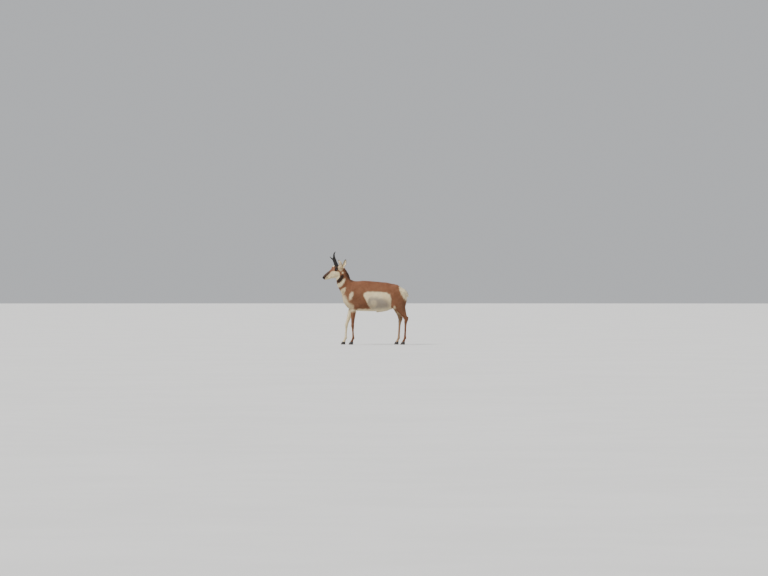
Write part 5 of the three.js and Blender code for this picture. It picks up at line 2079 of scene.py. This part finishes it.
@dataclass
class Eyes:
    """The two large dark eyes, each a ball with a clear bulge in front, and their lashes."""

    flesh: Flesh
    bulge: float = 1.1
    rings: int = 40
    sides: int = 56
    lashes: int = 34
    feelers: int = 16

    def ball(self, side: Side, finish: Material) -> Object:
        """Turns one eye.

        Args:
            side: Whose eye.
            finish: The eye's finish.

        Returns:
            The object.
        """
        hand = side.value
        centre = on_head(EYE[0], EYE[1], hand * EYE[2])
        axis = unit([-0.16, hand, 0.02])
        level = unit(np.cross([0.12, 0.0, 1.0], axis))
        up = np.cross(axis, level)
        tilt = np.linspace(0, math.pi, self.rings + 1)[1:-1]
        turn = 2 * math.pi * np.arange(self.sides) / self.sides
        away = (EYE_RADIUS + self.bulge * np.exp(-((tilt / 0.55) ** 2)))[:, None]
        a = away * np.sin(tilt)[:, None] * np.cos(turn)
        b = away * np.sin(tilt)[:, None] * np.sin(turn)
        forward = away * np.cos(tilt)[:, None] * np.ones(self.sides)
        local = np.concatenate([
            np.stack([a, b, forward], -1).reshape(-1, 3),
            [[0, 0, EYE_RADIUS + self.bulge], [0, 0, -EYE_RADIUS]],
        ])
        points = centre + local[:, :1] * level + local[:, 1:2] * up + local[:, 2:] * axis
        ring = np.arange(self.sides)
        after = (ring + 1) % self.sides
        last, top = (len(tilt) - 1) * self.sides, len(points) - 2
        caps = np.concatenate([
            np.stack([0 * ring + top, ring, after], 1),
            np.stack([0 * ring + top + 1, last + after, last + ring], 1),
        ])
        faces = turned_out(points, [ring_walls(self.sides, len(tilt)), caps])
        name = f"eye_{side.name.lower()}"
        made = piece_from(name, points, faces, "eye", finish, iris=local)
        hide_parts(name)
        return made

    def fringe(self, finish: Material) -> Object:
        """Builds the upper lashes of both eyes and the feelers round the lips.

        Args:
            finish: The hair's finish.

        Returns:
            The object.
        """
        draw = np.random.default_rng(SEED + 9)
        hairs = []
        forward, rise = on_head(-1, 0) - on_head(0, 0), on_head(0, 1) - on_head(0, 0)
        for side in Side:
            hand = np.array([0.0, side.value, 0.0])
            for n in range(self.lashes):
                a = -17 + 34 * (n + draw.random()) / self.lashes
                b = 12.6 * (1 - (a / 19.5) ** 2) - 0.12 * a + 1.0
                deep = math.sqrt(max((EYE_RADIUS + 3.0) ** 2 - a * a - b * b, 1))
                root = on_head(EYE[0] + a, EYE[1] + b) + hand * (EYE[2] + deep - 1.2)
                lie = hand * 1.0 + forward * 0.02 * -a - rise * 0.15
                hairs.append([*root, *lie, draw.uniform(9, 14), draw.uniform(1.0, 3.0), 0.55])
            for _ in range(self.feelers):
                start = on_head(draw.uniform(12, 62), draw.uniform(-40, -16))
                if self.flesh.skin((start + 4 * hand)[None])[0] > -1:
                    continue
                root = start + hand * (self.flesh.to_skin(start[None], hand, 40.0, 16)[0] - 3.0)
                lie = hand * 1.0 + forward * draw.uniform(-0.8, 0.4) - rise * draw.uniform(0.2, 0.9)
                hairs.append([*root, *lie, draw.uniform(13, 26), -draw.uniform(0.5, 3.0), 0.4])
        table, count = np.array(hairs), len(hairs)
        strands = Strands(
            root=table[:, :3],
            out=np.tile(rise, (count, 1)),
            lie=unit(table[:, 3:6]),
            length=table[:, 6],
            height=table[:, 7],
            width=table[:, 8],
            tones=toned(count, {Tone.DARK: 1}),
            chance=draw.random(count),
            chart=np.stack([(np.arange(count) + 0.5) / count, np.full(count, 0.5)], 1),
            bends=2,
        )
        return strands.piece("lashes_and_feelers", "hair", finish)

    def build(self, eye: Material, hair: Material) -> list[Object]:
        """Builds both eyes, then their lashes and the feelers."""
        return [*(self.ball(side, eye) for side in Side), self.fringe(hair)]


@dataclass
class Studio:
    """A plain pale floor, soft light and the camera, level with the buck and far off."""

    camera_distance: float = 60.0
    view_width: float = 10.67
    view_middle: tuple[float, float] = (258.5, 786.7)
    sensor: float = 36.0
    floor_rings: tuple[float, ...] = (2.0, 12.0, 160.0)
    floor_sides: int = 128

    def floor(self, finish: Material) -> Object:
        """Lays the floor.

        Args:
            finish: The floor's finish.

        Returns:
            The floor.
        """
        made = bpy.data.objects.new("floor", bpy.data.meshes.new("floor"))
        turn = 2 * math.pi * np.arange(self.floor_sides) / self.floor_sides
        rings = [np.stack([r * np.cos(turn), r * np.sin(turn), 0 * turn], 1) for r in self.floor_rings]
        walls = ring_walls(self.floor_sides, len(rings)).tolist()
        made.data.from_pydata(np.concatenate(rings).tolist(), [], [list(range(self.floor_sides)), *walls])
        made.data.materials.append(finish)
        bpy.context.scene.collection.objects.link(made)
        return made

    def light(self) -> None:
        """Sets a broad key high in front, a weak fill and an even pale surround."""
        for name, energy, soft, turn in (
            ("key", 4.1, 12.0, (40, -14, -28)),
            ("fill", 0.5, 60.0, (62, 0, 52)),
            ("back", 0.8, 40.0, (-50, 0, 20)),
        ):
            lamp = bpy.data.lights.new(name, "SUN")
            lamp.energy = energy
            lamp.angle = math.radians(soft)
            made = bpy.data.objects.new(name, lamp)
            made.rotation_euler = [math.radians(angle) for angle in turn]
            bpy.context.scene.collection.objects.link(made)
        world = bpy.data.worlds.new("surround")
        world.use_nodes = True
        ground = world.node_tree.nodes["Background"]
        ground.inputs["Color"].default_value = (0.86, 0.88, 0.91, 1)
        ground.inputs["Strength"].default_value = 0.62
        bpy.context.scene.world = world

    def camera(self) -> None:
        """Sets the camera, level with the middle of the picture."""
        lens = bpy.data.cameras.new("camera")
        lens.sensor_width = self.sensor
        lens.lens = self.sensor * self.camera_distance / self.view_width
        lens.clip_end = 1000.0
        made = bpy.data.objects.new("camera", lens)
        x, z = self.view_middle
        made.location = (x * MM + SHIFT[0], SHIFT[1] - self.camera_distance, z * MM + SHIFT[2])
        made.rotation_euler = (math.pi / 2, 0.0, 0.0)
        bpy.context.scene.collection.objects.link(made)
        bpy.context.scene.camera = made


def report(*pieces: Object) -> None:
    """Logs each new piece with the number of its faces."""
    for piece in pieces:
        LOG.info("%s: %d faces", piece.name, len(piece.data.polygons))


def main() -> None:
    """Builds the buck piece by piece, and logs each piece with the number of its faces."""
    logging.basicConfig(level=logging.INFO, format="%(relativeCreated)6d ms  %(message)s")
    effects = Effects()
    coat_hair = HairFinish("coat_hair").material(effects)
    long_hair = HairFinish("long_hair", 0.55, 0.08).material(effects)
    under = SkinFinish().material(effects)
    horn, hoof, wet = (finish().material(effects) for finish in (HornFinish, HoofFinish, EyeFinish))
    flesh, markings, horns = Flesh(), Markings(), Horns()
    skin = Skin(flesh, markings)
    ground = skin.net()
    LOG.info("ground for the coat: %d points", len(ground.points))
    report(skin.build(ground, under))
    report(*Coat(flesh, markings, horns.distance).build(ground, coat_hair))
    report(Mane(flesh).build(long_hair))
    report(*Tail().build(long_hair, under))
    for ear in (
        Ear("ear_left", (-323, -40, 1050), (-268, -84, 1182), (-0.45, -0.85, 0.2)),
        Ear("ear_right", (-330, 40, 1052), (-370, 88, 1180), (-0.6, 0.8, -0.1)),
    ):
        report(*ear.build(coat_hair, under))
    report(*horns.build(horn))
    for leg, bends in zip(LEGS, flesh.leg_bends, strict=True):
        report(Hoof(leg, *bends[-1][:2]).build(hoof))
    report(*Eyes(flesh).build(wet, long_hair))
    studio = Studio()
    report(studio.floor(FloorFinish().material(effects)))
    studio.light()
    studio.camera()


if __name__ == "__main__":
    main()
